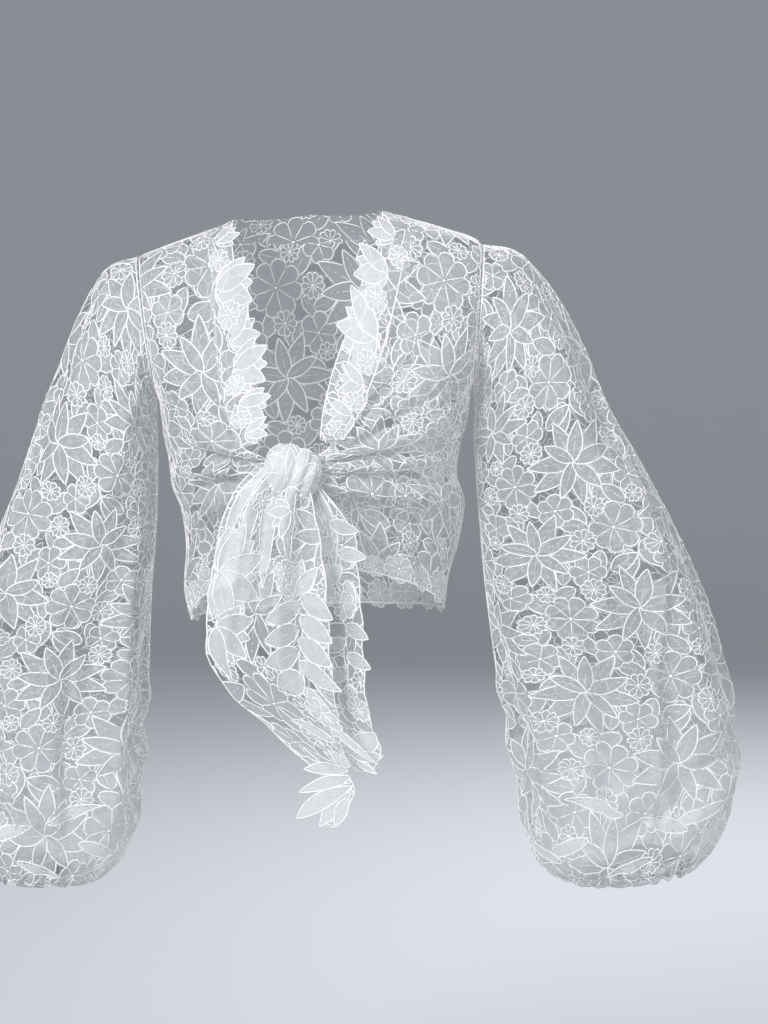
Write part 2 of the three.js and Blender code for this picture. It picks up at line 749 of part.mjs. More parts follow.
function backPanel() {
  const half = (v, side) => curveLength(torsoRow(rowAt(backRows, v), v, 0, side));
  const bare = (s, t) => {
    const v = t / backLength;
    const side = s > 0 ? 'left' : 'right';
    const p = alongCurve(torsoRow(rowAt(backRows, v), v, 0, side), Math.abs(s) / half(v, side));
    return new THREE.Vector3(Math.sign(s) * p.x, p.y, p.z);
  };
  const place = (s, t) => {
    const normal = surfaceNormal(bare, s, t).negate();
    const room = Math.min(half(t / backLength, s > 0 ? 'left' : 'right') - Math.abs(s), t);
    const fade = Math.min(Math.max(room / foldRoom.torso, 0), 1);
    return bare(s, t).addScaledVector(normal, fade * foldHeight(backFolds, s, t));
  };
  const count = { shoulder: 4, side: 24, hem: 18, neck: 14 };
  const seam = seamInset;
  const shoulder = half(0, 'left') - neckSeam.half - 2 * seam;
  const outline = [
    ...sampled(count.shoulder, (f) => [neckSeam.half + seam + f * shoulder, seam]),
    ...sampled(count.side, (f) => [half(f, 'left') - seam, seam + f * (backLength - seam)]),
    ...sampled(count.hem, (f) => {
      const s = (1 - f) * (half(1, 'left') - seam) - f * (half(1, 'right') - seam);
      const begun = Math.min(1, f / scallopStart.back, (1 - f) / scallopStart.back);
      return [s, backLength - hemScallop.above + scallop(s) * begun];
    }),
    ...sampled(count.side, (f) => [seam - half(1 - f, 'right'), backLength - f * (backLength - seam)]),
    ...sampled(count.shoulder, (f) => [seam - half(0, 'right') + f * shoulder, seam]),
    ...sampled(count.neck, (f) => neckPoint(neckSeam, f, seam)),
  ];
  const gaps = gapsInside(outline, laceShift.back, gapKinds);
  const back = { outline, gaps, pitch: torsoPitch, place };
  const bandOutline = [
    ...sampled(count.neck, (f) => neckPoint(neckEdge, f, 0)),
    ...sampled(2, (f) => [neckEdge.half + f * (neckSeam.half - neckEdge.half), seam]),
    ...sampled(count.neck, (f) => neckPoint(neckSeam, 1 - f, -seam)),
    ...sampled(2, (f) => [-neckSeam.half + f * (neckSeam.half - neckEdge.half), seam]),
  ];
  const band = { outline: bandOutline, gaps: [], pitch: bandPitch, place };
  return { back, band };
}

// A point of a neck curve, from the left shoulder to the right one, moved down by a margin
function neckPoint(curve, f, margin) {
  const angle = Math.PI * f;
  return [-curve.half * Math.cos(angle), seamInset + Math.max(0, margin + curve.dip * Math.sin(angle))];
}

// A band along a front edge, straight across from the panel's seam to the free edge
function frontBand(side) {
  const { hand, inner } = frontSurface(side);
  const onLeft = side === 'left';
  const free = (row) => (onLeft ? row.xLeft : row.xRight);
  const place = (s, t) => {
    const v = t / frontLength;
    const panel = rowAt(frontRows, v);
    const edge = rowAt(bandRows, v);
    const u = (s - inner(panel)) / (free(edge) - inner(panel));
    const y = panel.yIn + (edge.y - panel.yIn) * u - bandCrown * Math.sin(Math.PI * Math.min(Math.max(u, 0), 1));
    return new THREE.Vector3(hand * s, y, panel.zIn + (edge.z - panel.zIn) * u);
  };
  const reach = (v) => {
    let sum = 0;
    for (const spray of bandSprays[side]) {
      sum += spray.reach * Math.max(0, 1 - ((v - spray.v) / spray.half) ** 2);
    }
    return sum;
  };
  const freeAt = (v) => free(rowAt(bandRows, v)) - reach(v);
  const seamAt = (v) => inner(rowAt(frontRows, v)) - seamInset;
  const length = bandEnd * frontLength;
  const count = { side: 13, free: 26, end: 2 };
  const outline = [
    ...sampled(count.end, (f) => [freeAt(0) + f * (seamAt(0) - freeAt(0)), seamInset]),
    ...sampled(count.side, (f) => [seamAt(f * bandEnd), seamInset + f * (length - seamInset)]),
    ...sampled(count.end, (f) => [seamAt(bandEnd) + f * (freeAt(bandEnd) - seamAt(bandEnd)), length]),
    ...sampled(count.free, (f) => [freeAt((1 - f) * bandEnd), length - f * (length - seamInset)]),
  ];
  return { outline, gaps: [], pitch: bandPitch, place };
}

// A hanging end of the tie
function tailEnd(rows, length, folds, shift) {
  const place = (s, t) => {
    const row = rowAt(rows, t / length);
    const u = s / row.cut;
    const x = row.xLeft + (row.xRight - row.xLeft) * u;
    const z = row.zLeft + (row.zRight - row.zLeft) * u;
    return new THREE.Vector3(x, row.y - foldHeight(folds, s, t), z);
  };
  const cut = (v) => rowAt(rows, v).cut;
  const begun = (v) => Math.min(v / scallopStart.tail, 1);
  const count = { across: 5, down: 20 };
  const outline = [
    ...sampled(count.across, (f) => [f * cut(0), 0]),
    ...sampled(count.down, (f) => [cut(f) + scallop(f * length) * begun(f), f * length]),
    ...sampled(2, (f) => [(1 - f) * cut(1), length]),
    ...sampled(count.down, (f) => [-scallop(f * length) * begun(1 - f), (1 - f) * length]),
  ];
  const gaps = gapsInside(outline, shift, gapKinds);
  return { outline, gaps, pitch: tailPitch, place };
}

// How far the cloth is drawn up into pleats, from 0 above the cuff to 1 at its edge
function gathered(t) {
  return Math.min(Math.max((t - cuffStart) / (sleeveLength - cuffStart), 0), 1);
}

// One half of a sleeve, from its outer line (s 0) round to the underarm
function sleeveHalf(side, face) {
  const hand = side === 'left' ? 1 : -1;
  const rings = side === 'left' ? leftSleeveRings : rightSleeveRings;
  const toFront = face === 'front' ? -1 : 1;
  const bare = (s, t) => {
    const ring = rowAt(rings, t / sleeveLength);
    const curve = (q) => {
      const angle = Math.PI * q;
      const x = (ring.xOut + ring.xIn) / 2 + ((ring.xOut - ring.xIn) / 2) * Math.cos(angle);
      const z = (ring.zOut + ring.zIn) / 2 + ((ring.zOut - ring.zIn) / 2) * Math.cos(angle);
      return new THREE.Vector3(x, ring.depth * Math.sin(angle), z);
    };
    const p = alongCurve(curve, (2 * s) / ring.cut);
    return new THREE.Vector3(hand * p.x, ring.y + toFront * p.y, p.z);
  };
  const outward = hand * toFront;
  const place = (s, t) => {
    const ring = rowAt(rings, t / sleeveLength);
    const normal = surfaceNormal(bare, s, t).multiplyScalar(-outward);
    const room = Math.min(s, ring.cut / 2 - s, t - foldRoom.cap);
    const atCuff = Math.min(Math.max((cuffStart - t) / foldRoom.cuff, 0), 1);
    const fade = Math.min(Math.max(room / foldRoom.sleeve, 0), 1) * atCuff;
    const pleat = pleatHeight * gathered(t) * Math.cos((2 * Math.PI * cuffPleats * s) / ring.cut);
    return bare(s, t).addScaledVector(normal, fade * foldHeight(sleeveFolds, s, t) + pleat);
  };
  const half = (t) => rowAt(rings, t / sleeveLength).cut / 2;
  // The seam opens a little where the pleats stand steep on both sides of it
  const inset = (t) => seamInset + pleatRoom * gathered(t);
  const columns = cuffPleats;
  const bodyEnd = sleeveLength - cuffZone;
  const count = { cap: 10, side: 26, rows: 5 };
  const down = [
    ...sampled(count.side, (f) => f * bodyEnd),
    ...sampled(count.rows, (f) => bodyEnd + f * cuffZone),
  ];
  const extra = [];
  for (const t of down.slice(count.side)) {
    for (let i = 1; i < columns; i += 1) {
      extra.push([(i * half(t)) / columns, t]);
    }
  }
  const outline = [
    ...sampled(count.cap, (f) => [seamInset + f * (half(0) - 2 * seamInset), 0]),
    ...down.map((t) => [half(t) - inset(t), t]),
    ...sampled(columns, (f) => [(1 - f) * half(sleeveLength) + inset(sleeveLength) * (2 * f - 1), sleeveLength]),
    ...[...down, sleeveLength].reverse().slice(0, -1).map((t) => [inset(t), t]),
  ];
  // The lace runs on round the outer line, so the back half is charted to the other side of it
  const turned = (points) => points.map(([s, t]) => [-toFront * s, t]);
  const gaps = gapsInside(turned(outline), laceShift[`sleeve_${side}`], gapKinds)
    .map(turned)
    .filter((gap) => gap.every(([, t]) => t < bodyEnd - gatherRoom));
  return { outline, gaps, pitch: sleevePitch, place, extra, calm: cuffZone + 8 };
}

// The knot: cloth wrapped round itself, its ridges running over from the upper left
function knotShape(grow) {
  const geometry = new THREE.SphereGeometry(1, 24, 14);
  geometry.deleteAttribute('normal');
  geometry.deleteAttribute('uv');
  const merged = mergeVertices(geometry, weld);
  const position = merged.attributes.position;
  for (let i = 0; i < position.count; i += 1) {
    const p = new THREE.Vector3().fromBufferAttribute(position, i);
    const wave = Math.cos(knotRidge.across * p.x + knotRidge.up * p.z);
    const ridge = knotRidge.height * wave * (1 - Math.abs(p.y) ** knotRidge.flat);
    const powers = [p.x, p.y, p.z].map((c) => Math.abs(c) ** knotBlock.power);
    const full = 1 / (powers[0] + powers[1] + powers[2]) ** (1 / knotBlock.power);
    const size = 1 - knotBlock.share + knotBlock.share * full + ridge;
    position.setXYZ(
      i,
      knotCentre.x + p.x * (knotHalf.x * size + grow),
      knotCentre.y + p.y * (knotHalf.y * size + grow),
      knotCentre.z + p.z * (knotHalf.z * size + grow),
    );
  }
  return merged;
}

// The elastic casing at a wrist, a low ring with small gathers
function cuffRing(side) {
  const rings = side === 'left' ? leftSleeveRings : rightSleeveRings;
  const last = rings[rings.length - 1];
  const hand = side === 'left' ? 1 : -1;
  const inner = cuffRadius - cuffWall;
  const half = cuffHeight / 2;
  const profile = [
    new THREE.Vector2(inner, -half),
    new THREE.Vector2(cuffRadius - cuffBevel, -half),
    new THREE.Vector2(cuffRadius, 0),
    new THREE.Vector2(cuffRadius - cuffBevel, half),
    new THREE.Vector2(inner, half),
    new THREE.Vector2(inner, -half),
  ];
  const geometry = new THREE.LatheGeometry(profile, 2 * cuffPleats);
  geometry.rotateX(Math.PI / 2);
  geometry.translate((hand * (last.xOut + last.xIn)) / 2, last.y, last.zOut);
  return geometry;
}

// Folds die away over a short way at the side seam, so that neighbouring pieces still meet
function foldFade(s, t, edges) {
  const [s0, s1] = edges(t / frontLength);
  const room = Math.min(s1 - s, s - s0 + foldRoom.band);
  return Math.min(Math.max(room / foldRoom.torso, 0), 1) * Math.min(t / foldRoom.top, 1);
}

const knot = knotShape(0);
const knotRoom = solidOf(knotShape(knotGap));
const trimmed = (piece) => geometryOf(solidOf(clothWall(piece)).subtract(knotRoom));
const { back, band: neckBand } = backPanel();

const shapes = {
  back: [clothWall(back), laceWhite],
  band_back: [clothWall(neckBand), laceWhite],
  knot: [knot, knotWhite],
  tail_right: [trimmed(tailEnd(tailRightRows, tailRightLength, tailRightFolds, laceShift.tail_right)), laceShade],
  tail_left: [trimmed(tailEnd(tailLeftRows, tailLeftLength, tailLeftFolds, laceShift.tail_left)), laceShade],
};
for (const side of ['left', 'right']) {
  shapes[`front_${side}`] = [trimmed(frontPanel(side)), laceWhite];
  shapes[`band_${side}`] = [trimmed(frontBand(side)), laceWhite];
  for (const face of ['front', 'back']) {
    shapes[`sleeve_${side}_${face}`] = [clothWall(sleeveHalf(side, face)), laceWhite];
  }
  shapes[`cuff_${side}`] = [cuffRing(side), laceShade];
}

const blouse = new THREE.Group();
for (const [name, [geometry, color]] of Object.entries(shapes)) {
  const material = new THREE.MeshStandardMaterial({ color, roughness: clothRoughness, metalness: 0 });
  const mesh = new THREE.Mesh(geometry, material);
  mesh.name = name;
  blouse.add(mesh);
}

export default blouse;
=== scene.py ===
# %% [markdown]
# # A tie-front blouse of cut-work lace
#
# The blouse is sheer white organza, embroidered with satin cord and then cut away between the
# flowers and leaves. It is modelled as a lace maker works. Each piece is first charted flat, in
# millimetres: s runs across the cloth and t down it. The chart tells where there is organza,
# where there is a cord and where there is a gap. Then the flat piece is laid on the worn
# surface of the blouse, which short tables of rows describe.
#
# The first cell opens the imported solids as the frame.

# %% Open the frame
import json
import math

import bpy
import numpy as np
from mathutils import Matrix, Vector

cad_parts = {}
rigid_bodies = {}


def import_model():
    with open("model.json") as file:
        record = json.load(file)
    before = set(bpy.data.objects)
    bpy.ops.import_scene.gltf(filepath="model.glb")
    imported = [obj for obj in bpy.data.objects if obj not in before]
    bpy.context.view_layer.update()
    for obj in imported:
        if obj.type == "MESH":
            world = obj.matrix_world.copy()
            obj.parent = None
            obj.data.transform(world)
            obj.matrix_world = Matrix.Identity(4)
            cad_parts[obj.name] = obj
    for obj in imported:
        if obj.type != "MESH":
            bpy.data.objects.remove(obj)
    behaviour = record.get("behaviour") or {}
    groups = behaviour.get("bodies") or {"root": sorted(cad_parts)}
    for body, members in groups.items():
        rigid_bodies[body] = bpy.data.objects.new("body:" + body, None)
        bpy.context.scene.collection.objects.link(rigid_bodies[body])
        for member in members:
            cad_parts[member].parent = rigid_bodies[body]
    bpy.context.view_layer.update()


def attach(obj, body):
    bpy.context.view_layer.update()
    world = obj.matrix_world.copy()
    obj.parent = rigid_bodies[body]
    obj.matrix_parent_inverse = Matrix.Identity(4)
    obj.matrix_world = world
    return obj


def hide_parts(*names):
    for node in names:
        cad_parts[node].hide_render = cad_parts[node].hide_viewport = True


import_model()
for thing in bpy.context.scene.objects:
    thing.select_set(False)

# %% [markdown]
# ## The camera
#
# The photograph looks at the blouse from the front, a little from above, from about 3.6 m. A
# long lens keeps both sleeves in proportion. The camera's three axes are worked out from two
# angles, so that they can be checked against the photograph.

# %% Place the camera
MM = 0.001
FRAME_HEIGHT = 1024
FOCAL_PIXELS = 3600
LOOK_DOWN = math.radians(8)
ROLL = math.radians(2)
AIM_RIGHT = 74
AIM_UP = -267
CAMERA_AWAY = 3600
SENSOR_HEIGHT = 36
FARTHEST = 100

forward = np.array([0, math.cos(LOOK_DOWN), -math.sin(LOOK_DOWN)])
level_right = np.array([1, 0, 0])
level_up = np.array([0, math.sin(LOOK_DOWN), math.cos(LOOK_DOWN)])
right = math.cos(ROLL) * level_right - math.sin(ROLL) * level_up
up = math.sin(ROLL) * level_right + math.cos(ROLL) * level_up
eye = (AIM_RIGHT * right + AIM_UP * up - CAMERA_AWAY * forward) * MM

camera_data = bpy.data.cameras.new("photo_camera")
camera_data.sensor_fit = "VERTICAL"
camera_data.sensor_height = SENSOR_HEIGHT
camera_data.lens = FOCAL_PIXELS / FRAME_HEIGHT * SENSOR_HEIGHT
camera_data.clip_end = FARTHEST
camera = bpy.data.objects.new("photo_camera", camera_data)
bpy.context.collection.objects.link(camera)
turned = Matrix(np.array([right, up, -forward]).T.tolist()).to_4x4()
camera.matrix_world = Matrix.Translation(eye.tolist()) @ turned
bpy.context.scene.camera = camera
print("camera at", np.round(eye, 3).tolist(), "lens", round(camera_data.lens, 1))

# %% [markdown]
# ## Rows and smooth curves
#
# A worn surface is described by a short table: a row for each height, and a column for each
# size. Between the rows every size runs on a smooth curve that never overshoots, so a fitted
# side seam stays a clean line.

# %% Read a table of rows
def rows_of(names, rows):
    return dict(zip(names.split(), np.array(rows, float).T))


def row_at(rows, v):
    """Every column of a table at the heights v, on smooth curves through its rows."""
    knots = rows["v"]
    i = np.clip(np.searchsorted(knots, v, side="right") - 1, 0, len(knots) - 2)
    span = knots[i + 1] - knots[i]
    f = (v - knots[i]) / span
    g = np.clip(f, 0, 1)
    out = {}
    for name, column in rows.items():
        secant = np.diff(column) / np.diff(knots)
        before, after = secant[:-1], secant[1:]
        same = before * after > 0
        total = np.where(same, before + after, 1)
        inner = np.where(same, 2 * before * after / total, 0)
        slope = np.concatenate([secant[:1], inner, secant[-1:]])
        m0 = slope[i] * span
        m1 = slope[i + 1] * span
        value = (2 * g**3 - 3 * g**2 + 1) * column[i] + (g**3 - 2 * g**2 + g) * m0
        value += (3 * g**2 - 2 * g**3) * column[i + 1] + (g**3 - g**2) * m1
        out[name] = value + (f - g) * np.where(f < 0, m0, m1)
    return out


CURVE_STEPS = 40
LEAST_LENGTH = 1e-6


def along_curve(curve, share):
    """Points at the given shares of the length of curves, and those lengths."""
    q = np.linspace(0, 1, CURVE_STEPS + 1)[:, None]
    points = curve(q)
    steps = np.linalg.norm(np.diff(points, axis=0), axis=2)
    lengths = np.vstack([np.zeros(steps.shape[1]), np.cumsum(steps, axis=0)])
    wanted = share * lengths[-1]
    k = np.clip((lengths[1:] < wanted).sum(axis=0), 0, CURVE_STEPS - 1)
    column = np.arange(len(k))
    part = (wanted - lengths[k, column]) / (lengths[k + 1, column] - lengths[k, column])
    start = points[k, column]
    return start + (points[k + 1, column] - start) * part[:, None], lengths[-1]


def point(x, y, z):
    return np.stack(np.broadcast_arrays(x, y, z), axis=-1)


def flat_line(s, t):
    """Flat points from their places across and down the cloth."""
    return np.stack(np.broadcast_arrays(s, t), axis=1)


def unit(ways):
    """Vectors, one to a row, brought to a length of one."""
    return ways / np.maximum(np.linalg.norm(ways, axis=1), LEAST_LENGTH)[:, None]


def ramp(value, span):
    """Zero up to 0, one from the span on, and straight between them."""
    return np.clip(value / span, 0, 1)


def swing(first, last, angle):
    """From the first value to the last as the angle goes half a turn."""
    return (first + last) / 2 + (first - last) / 2 * np.cos(angle)


def each_row(table):
    return zip(*table.values())


# %% [markdown]
# ## Folds
#
# A fold is a soft ridge along a line on the flat cloth, highest in its middle. A negative
# height makes it a trough. They are placed one by one, uneven in length, depth and spacing, and
# they fan out from the knot, because that is where the cloth is pulled.

# %% Raise the folds
FOLD_ENDS = 0.45
NORMAL_STEP = 1.5


def folds_of(rows):
    """Folds by the two ends of each line, its half width and its height."""
    return rows_of("s0 t0 s1 t1 half height", rows)


def fold_height(folds, s, t):
    total = np.zeros(np.shape(s))
    for s0, t0, s1, t1, half, height in each_row(folds):
        ds, dt = s1 - s0, t1 - t0
        along = ((s - s0) * ds + (t - t0) * dt) / (ds * ds + dt * dt)
        near = np.clip(along, 0, 1)
        off = np.hypot(s - s0 - near * ds, t - t0 - near * dt)
        taper = FOLD_ENDS + (1 - FOLD_ENDS) * np.sin(np.pi * near)
        total += height * taper * np.exp(-((off / half) ** 2))
    return total


def normal_of(bare, s, t):
    across = bare(s + NORMAL_STEP, t) - bare(s - NORMAL_STEP, t)
    down = bare(s, t + NORMAL_STEP) - bare(s, t - NORMAL_STEP)
    return unit(np.cross(across, down))


# %% [markdown]
# ## The torso
#
# The shoulder seam is a straight slope. Down to the armpit a row ends on the oval armhole, and
# below it on the side seam. The two sides differ a little, because the cloth is pulled to the
# knot, which sits off the middle.

# %% Describe the torso
FRONT_LENGTH = 430
BACK_LENGTH = 415
ARMPIT_ROW = 0.46
SHOULDER_END = 0.2
SEAM_INSET = 0.2
SHOULDER_CROWN = {"left": 6, "right": 1}
ARMHOLE_TOP = (171, -6)
ARMHOLE_PIT = (157, -146)
ARMHOLE_DEPTH = 56
ROW_SLOPE = 0.35
# Folds fade out over these lengths towards the seams
FOLD_ROOM = 14
BAND_ROOM = 30
SHOULDER_ROOM = 20
# The left side is where x is above zero
HAND = {"left": 1, "right": -1}
INNER = {"left": "xInLeft", "right": "xInRight"}
OUTER = {"left": "xOutLeft", "right": "xOutRight"}

# The armhole and the side seam, where the front and the back meet at every height
side_rows = rows_of("v angle xOutLeft xOutRight zOut", [
    [0, 0, 157, 157, -146],
    [0.05, 24, 157, 157, -146],
    [0.12, 50, 157, 157, -146],
    [0.2, 76, 157, 157, -146],
    [0.28, 102, 157, 157, -146],
    [0.37, 134, 157, 157, -146],
    [0.46, 180, 157, 157, -146],
    [0.54, 180, 151, 154, -184],
    [0.6, 180, 143, 150, -208],
    [0.67, 180, 139, 148, -236],
    [0.74, 180, 146, 139, -264],
    [0.82, 180, 140, 136, -300],
    [0.91, 180, 127, 140, -342],
    [1, 180, 121, 133, -382],
])
front_rows = side_rows | rows_of("zIn yIn xInLeft xInRight", [
    [18, -1, 99, 97],
    [12, -24, 97, 96],
    [-12, -52, 92, 94],
    [-52, -82, 82, 93],
    [-92, -104, 70, 91],
    [-132, -118, 54, 86],
    [-164, -126, 38, 78],
    [-188, -134, 12, 66],
    [-198, -138, -2, 46],
    [-210, -138, -4, 44],
    [-224, -132, -8, 40],
    [-252, -112, -20.6, 21.8],
    [-284, -103, -20.6, 21.8],
    [-312, -98, -20.6, 21.8],
])
back_rows = side_rows | rows_of("zIn yIn", [
    [50, 2],
    [32, 31],
    [3, 57],
    [-36, 77],
    [-76, 88],
    [-118, 95],
    [-154, 96],
    [-188, 94],
    [-212, 92],
    [-240, 89],
    [-268, 88],
    [-304, 87],
    [-346, 90],
    [-388, 96],
])


def outer_end(row, v, side):
    """Where a row meets the armhole, or the side seam below it."""
    angle = np.radians(row["angle"])
    x, z = (swing(top, pit, angle) for top, pit in zip(ARMHOLE_TOP, ARMHOLE_PIT))
    y = ARMHOLE_DEPTH * np.sin(angle)
    below = v >= ARMPIT_ROW
    return np.where(below, row[OUTER[side]], x), np.where(below, 0, y), np.where(below, row["zOut"], z)


def torso_row(row, v, x_in, side):
    x_out, y_out, z_out = outer_end(row, v, side)
    y_out = np.sign(row["yIn"]) * y_out
    slope = np.maximum(0, 1 - v / SHOULDER_END)
    crown = np.where(v < 0, 0, slope * SHOULDER_CROWN[side])

    def curve(q):
        angle = q * np.pi / 2
        x = x_in + (x_out - x_in) * np.sin(angle)
        y = y_out + (row["yIn"] - y_out) * np.cos(angle)
        turned = ROW_SLOPE * q + (1 - ROW_SLOPE) * (1 - np.cos(angle))
        fall = slope * np.sin(angle) + (1 - slope) * turned
        z = row["zIn"] + (z_out - row["zIn"]) * fall + crown * np.sin(2 * angle)
        return point(x, y, z)

    return curve


front_folds = {
    "left": folds_of([
        [4, 232, 120, 118, 9, 7],
        [6, 250, 140, 168, 9, 7],
        [0, 262, 150, 210, 8, -6],
        [2, 272, 154, 236, 9, 8],
        [0, 284, 152, 270, 8, -7],
        [0, 300, 152, 300, 10, 8],
        [-4, 318, 146, 330, 9, -7],
        [-6, 340, 134, 366, 13, 8],
        [30, 200, 96, 60, 9, -5],
        [60, 330, 146, 392, 9, -7],
        [96, 300, 120, 420, 10, 5],
        [48, 352, 64, 428, 10, 6],
        [20, 240, 70, 196, 4, -2.5],
        [18, 266, 92, 234, 4, 2.5],
        [12, 292, 84, 284, 4, -2.5],
        [110, 240, 160, 252, 5, 2.5],
        [104, 190, 150, 176, 6, -2.5],
        [84, 376, 110, 424, 6, -2.5],
    ]),
    "right": folds_of([
        [46, 236, 132, 130, 9, 6],
        [46, 256, 150, 196, 9, -6],
        [46, 268, 158, 232, 10, 8],
        [46, 286, 156, 270, 8, -7],
        [46, 302, 154, 304, 10, 8],
        [46, 322, 148, 338, 9, -7],
        [42, 344, 140, 376, 12, 7],
        [104, 210, 122, 40, 9, -5],
        [70, 346, 136, 404, 9, -6],
        [96, 340, 112, 424, 10, 5],
        [60, 246, 104, 214, 4, -2.5],
        [58, 278, 120, 258, 4, 2.5],
        [60, 312, 118, 318, 4, -2.5],
        [120, 150, 158, 176, 6, -2.5],
    ]),
}
back_folds = folds_of([
    [-150, 262, 120, 276, 12, -6],
    [-130, 318, 150, 306, 13, 6],
    [-110, 210, -30, 96, 12, -4],
    [104, 214, 36, 80, 12, -4],
    [-80, 300, -92, 412, 12, 6],
    [-20, 306, -14, 412, 12, -5],
    [58, 300, 70, 412, 12, 6],
    [-60, 284, 96, 290, 5, 2.5],
    [100, 330, 112, 410, 7, -3],
])


def front_edges(side):
    """The flat inner and outer edge of a front at the heights v."""

    def edges(v):
        row = row_at(front_rows, v)
        inner = row[INNER[side]]
        return inner, inner + along_curve(torso_row(row, v, inner, side), np.ones(np.shape(v)))[1]

    return edges


# On the left, the front and its band are eased up to meet the bow of the back's shoulder edge
SHOULDER_EASE = {"left": 5.3, "right": 0}
EASE_LENGTH = 45
ease_rows = rows_of("x share", [
    [72, 0.75],
    [99, 1],
    [138, 0],
])


def shoulder_ease(points, t, side):
    across = np.interp(np.abs(points[:, 0]), ease_rows["x"], ease_rows["share"])
    down = np.clip(1 - t / EASE_LENGTH, 0, 1)
    return points + point(0, 0, SHOULDER_EASE[side] * across * down)


def front_surface(side):
    hand = HAND[side]
    edges = front_edges(side)

    def bare(s, t):
        v = t / FRONT_LENGTH
        row = row_at(front_rows, v)
        s0, s1 = edges(v)
        points = along_curve(torso_row(row, v, s0, side), (s - s0) / (s1 - s0))[0]
        return shoulder_ease(points * [hand, 1, 1], t, side)

    def place(s, t):
        s0, s1 = edges(t / FRONT_LENGTH)
        fade = ramp(np.minimum(s1 - s, s - s0 + BAND_ROOM), FOLD_ROOM) * ramp(t, SHOULDER_ROOM)
        rise = fade * fold_height(front_folds[side], s, t)
        return bare(s, t) + hand * normal_of(bare, s, t) * rise[:, None]

    return place


def back_half(v, side):
    row = row_at(back_rows, v)
    return along_curve(torso_row(row, v, 0, side), np.ones(np.shape(v)))[1]


def back_bare(s, t):
    v = t / BACK_LENGTH
    row = row_at(back_rows, v)
    out = np.zeros(np.shape(s) + (3,))
    for side, hand in HAND.items():
        here = s >= 0 if side == "left" else s < 0
        part = {name: column[here] for name, column in row.items()}
        share = np.abs(s[here]) / back_half(v[here], side)
        out[here] = along_curve(torso_row(part, v[here], 0, side), share)[0] * [hand, 1, 1]
    return out


def back_place(s, t, lift=0):
    half = np.where(s > 0, back_half(t / BACK_LENGTH, "left"), back_half(t / BACK_LENGTH, "right"))
    fade = ramp(np.minimum(half - np.abs(s), t), FOLD_ROOM)
    rise = fade * fold_height(back_folds, s, t) - lift
    return back_bare(s, t) - normal_of(back_bare, s, t) * rise[:, None]


# %% [markdown]
# ## The bands along the front edges
#
# The border of the lace is denser and ends in leaf points. It is a separate strip on each
# front, straight across from the panel's seam to its free edge, with a slight crown.

# %% Describe the bands
BAND_CROWN = 3
BAND_LIFT = 1.2
BAND_END = 0.53
NECK_SEAM = (98, 54)
NECK_EDGE = (72, 25)
FREE = {"left": "xLeft", "right": "xRight"}

band_rows = rows_of("v xLeft xRight z y", [
    [0, 72, 74, 27, 2],
    [0.05, 71, 76, 20, -26],
    [0.12, 66, 74, -6, -50],
    [0.2, 46, 63, -42, -76],
    [0.28, 31, 57, -84, -98],
    [0.37, 16, 53, -124, -116],
    [0.46, 7, 53, -158, -127],
    [0.53, 4, 50, -180, -136],
])


def band_surface(side):
    hand = HAND[side]

    def bare(s, t):
        v = t / FRONT_LENGTH
        panel = row_at(front_rows, v)
        edge = row_at(band_rows, v)
        u = (s - panel[INNER[side]]) / (edge[FREE[side]] - panel[INNER[side]])
        crown = BAND_CROWN * np.sin(np.pi * np.clip(u, 0, 1))
        y = panel["yIn"] + (edge["y"] - panel["yIn"]) * u - crown
        z = panel["zIn"] + (edge["z"] - panel["zIn"]) * u
        return shoulder_ease(point(hand * s, y, z), t, side)

    def place(s, t):
        return bare(s, t) - hand * normal_of(bare, s, t) * BAND_LIFT

    return place


# %% [markdown]
# ## The sleeves
#
# A balloon sleeve is one wide tube. Its rings grow from the armhole to below the elbow, and
# then the cloth is drawn up into small pleats at the wrist. s is zero on the outer line, runs
# forward over the front half, and back over the other.

# %% Describe the sleeves
SLEEVE_LENGTH = 700
CUFF_PLEATS = 20
CUFF_ZONE = 62
CUFF_HEM = 12
CUFF_START = SLEEVE_LENGTH - CUFF_ZONE - CUFF_HEM
CUFF_ROOM = 30
HEAD_ROOM = 6
SLEEVE_FOLD_ROOM = 16
SLUMP_END = 640
SLUMP_ROOM = 24
PLEAT_HEIGHT = 6.4

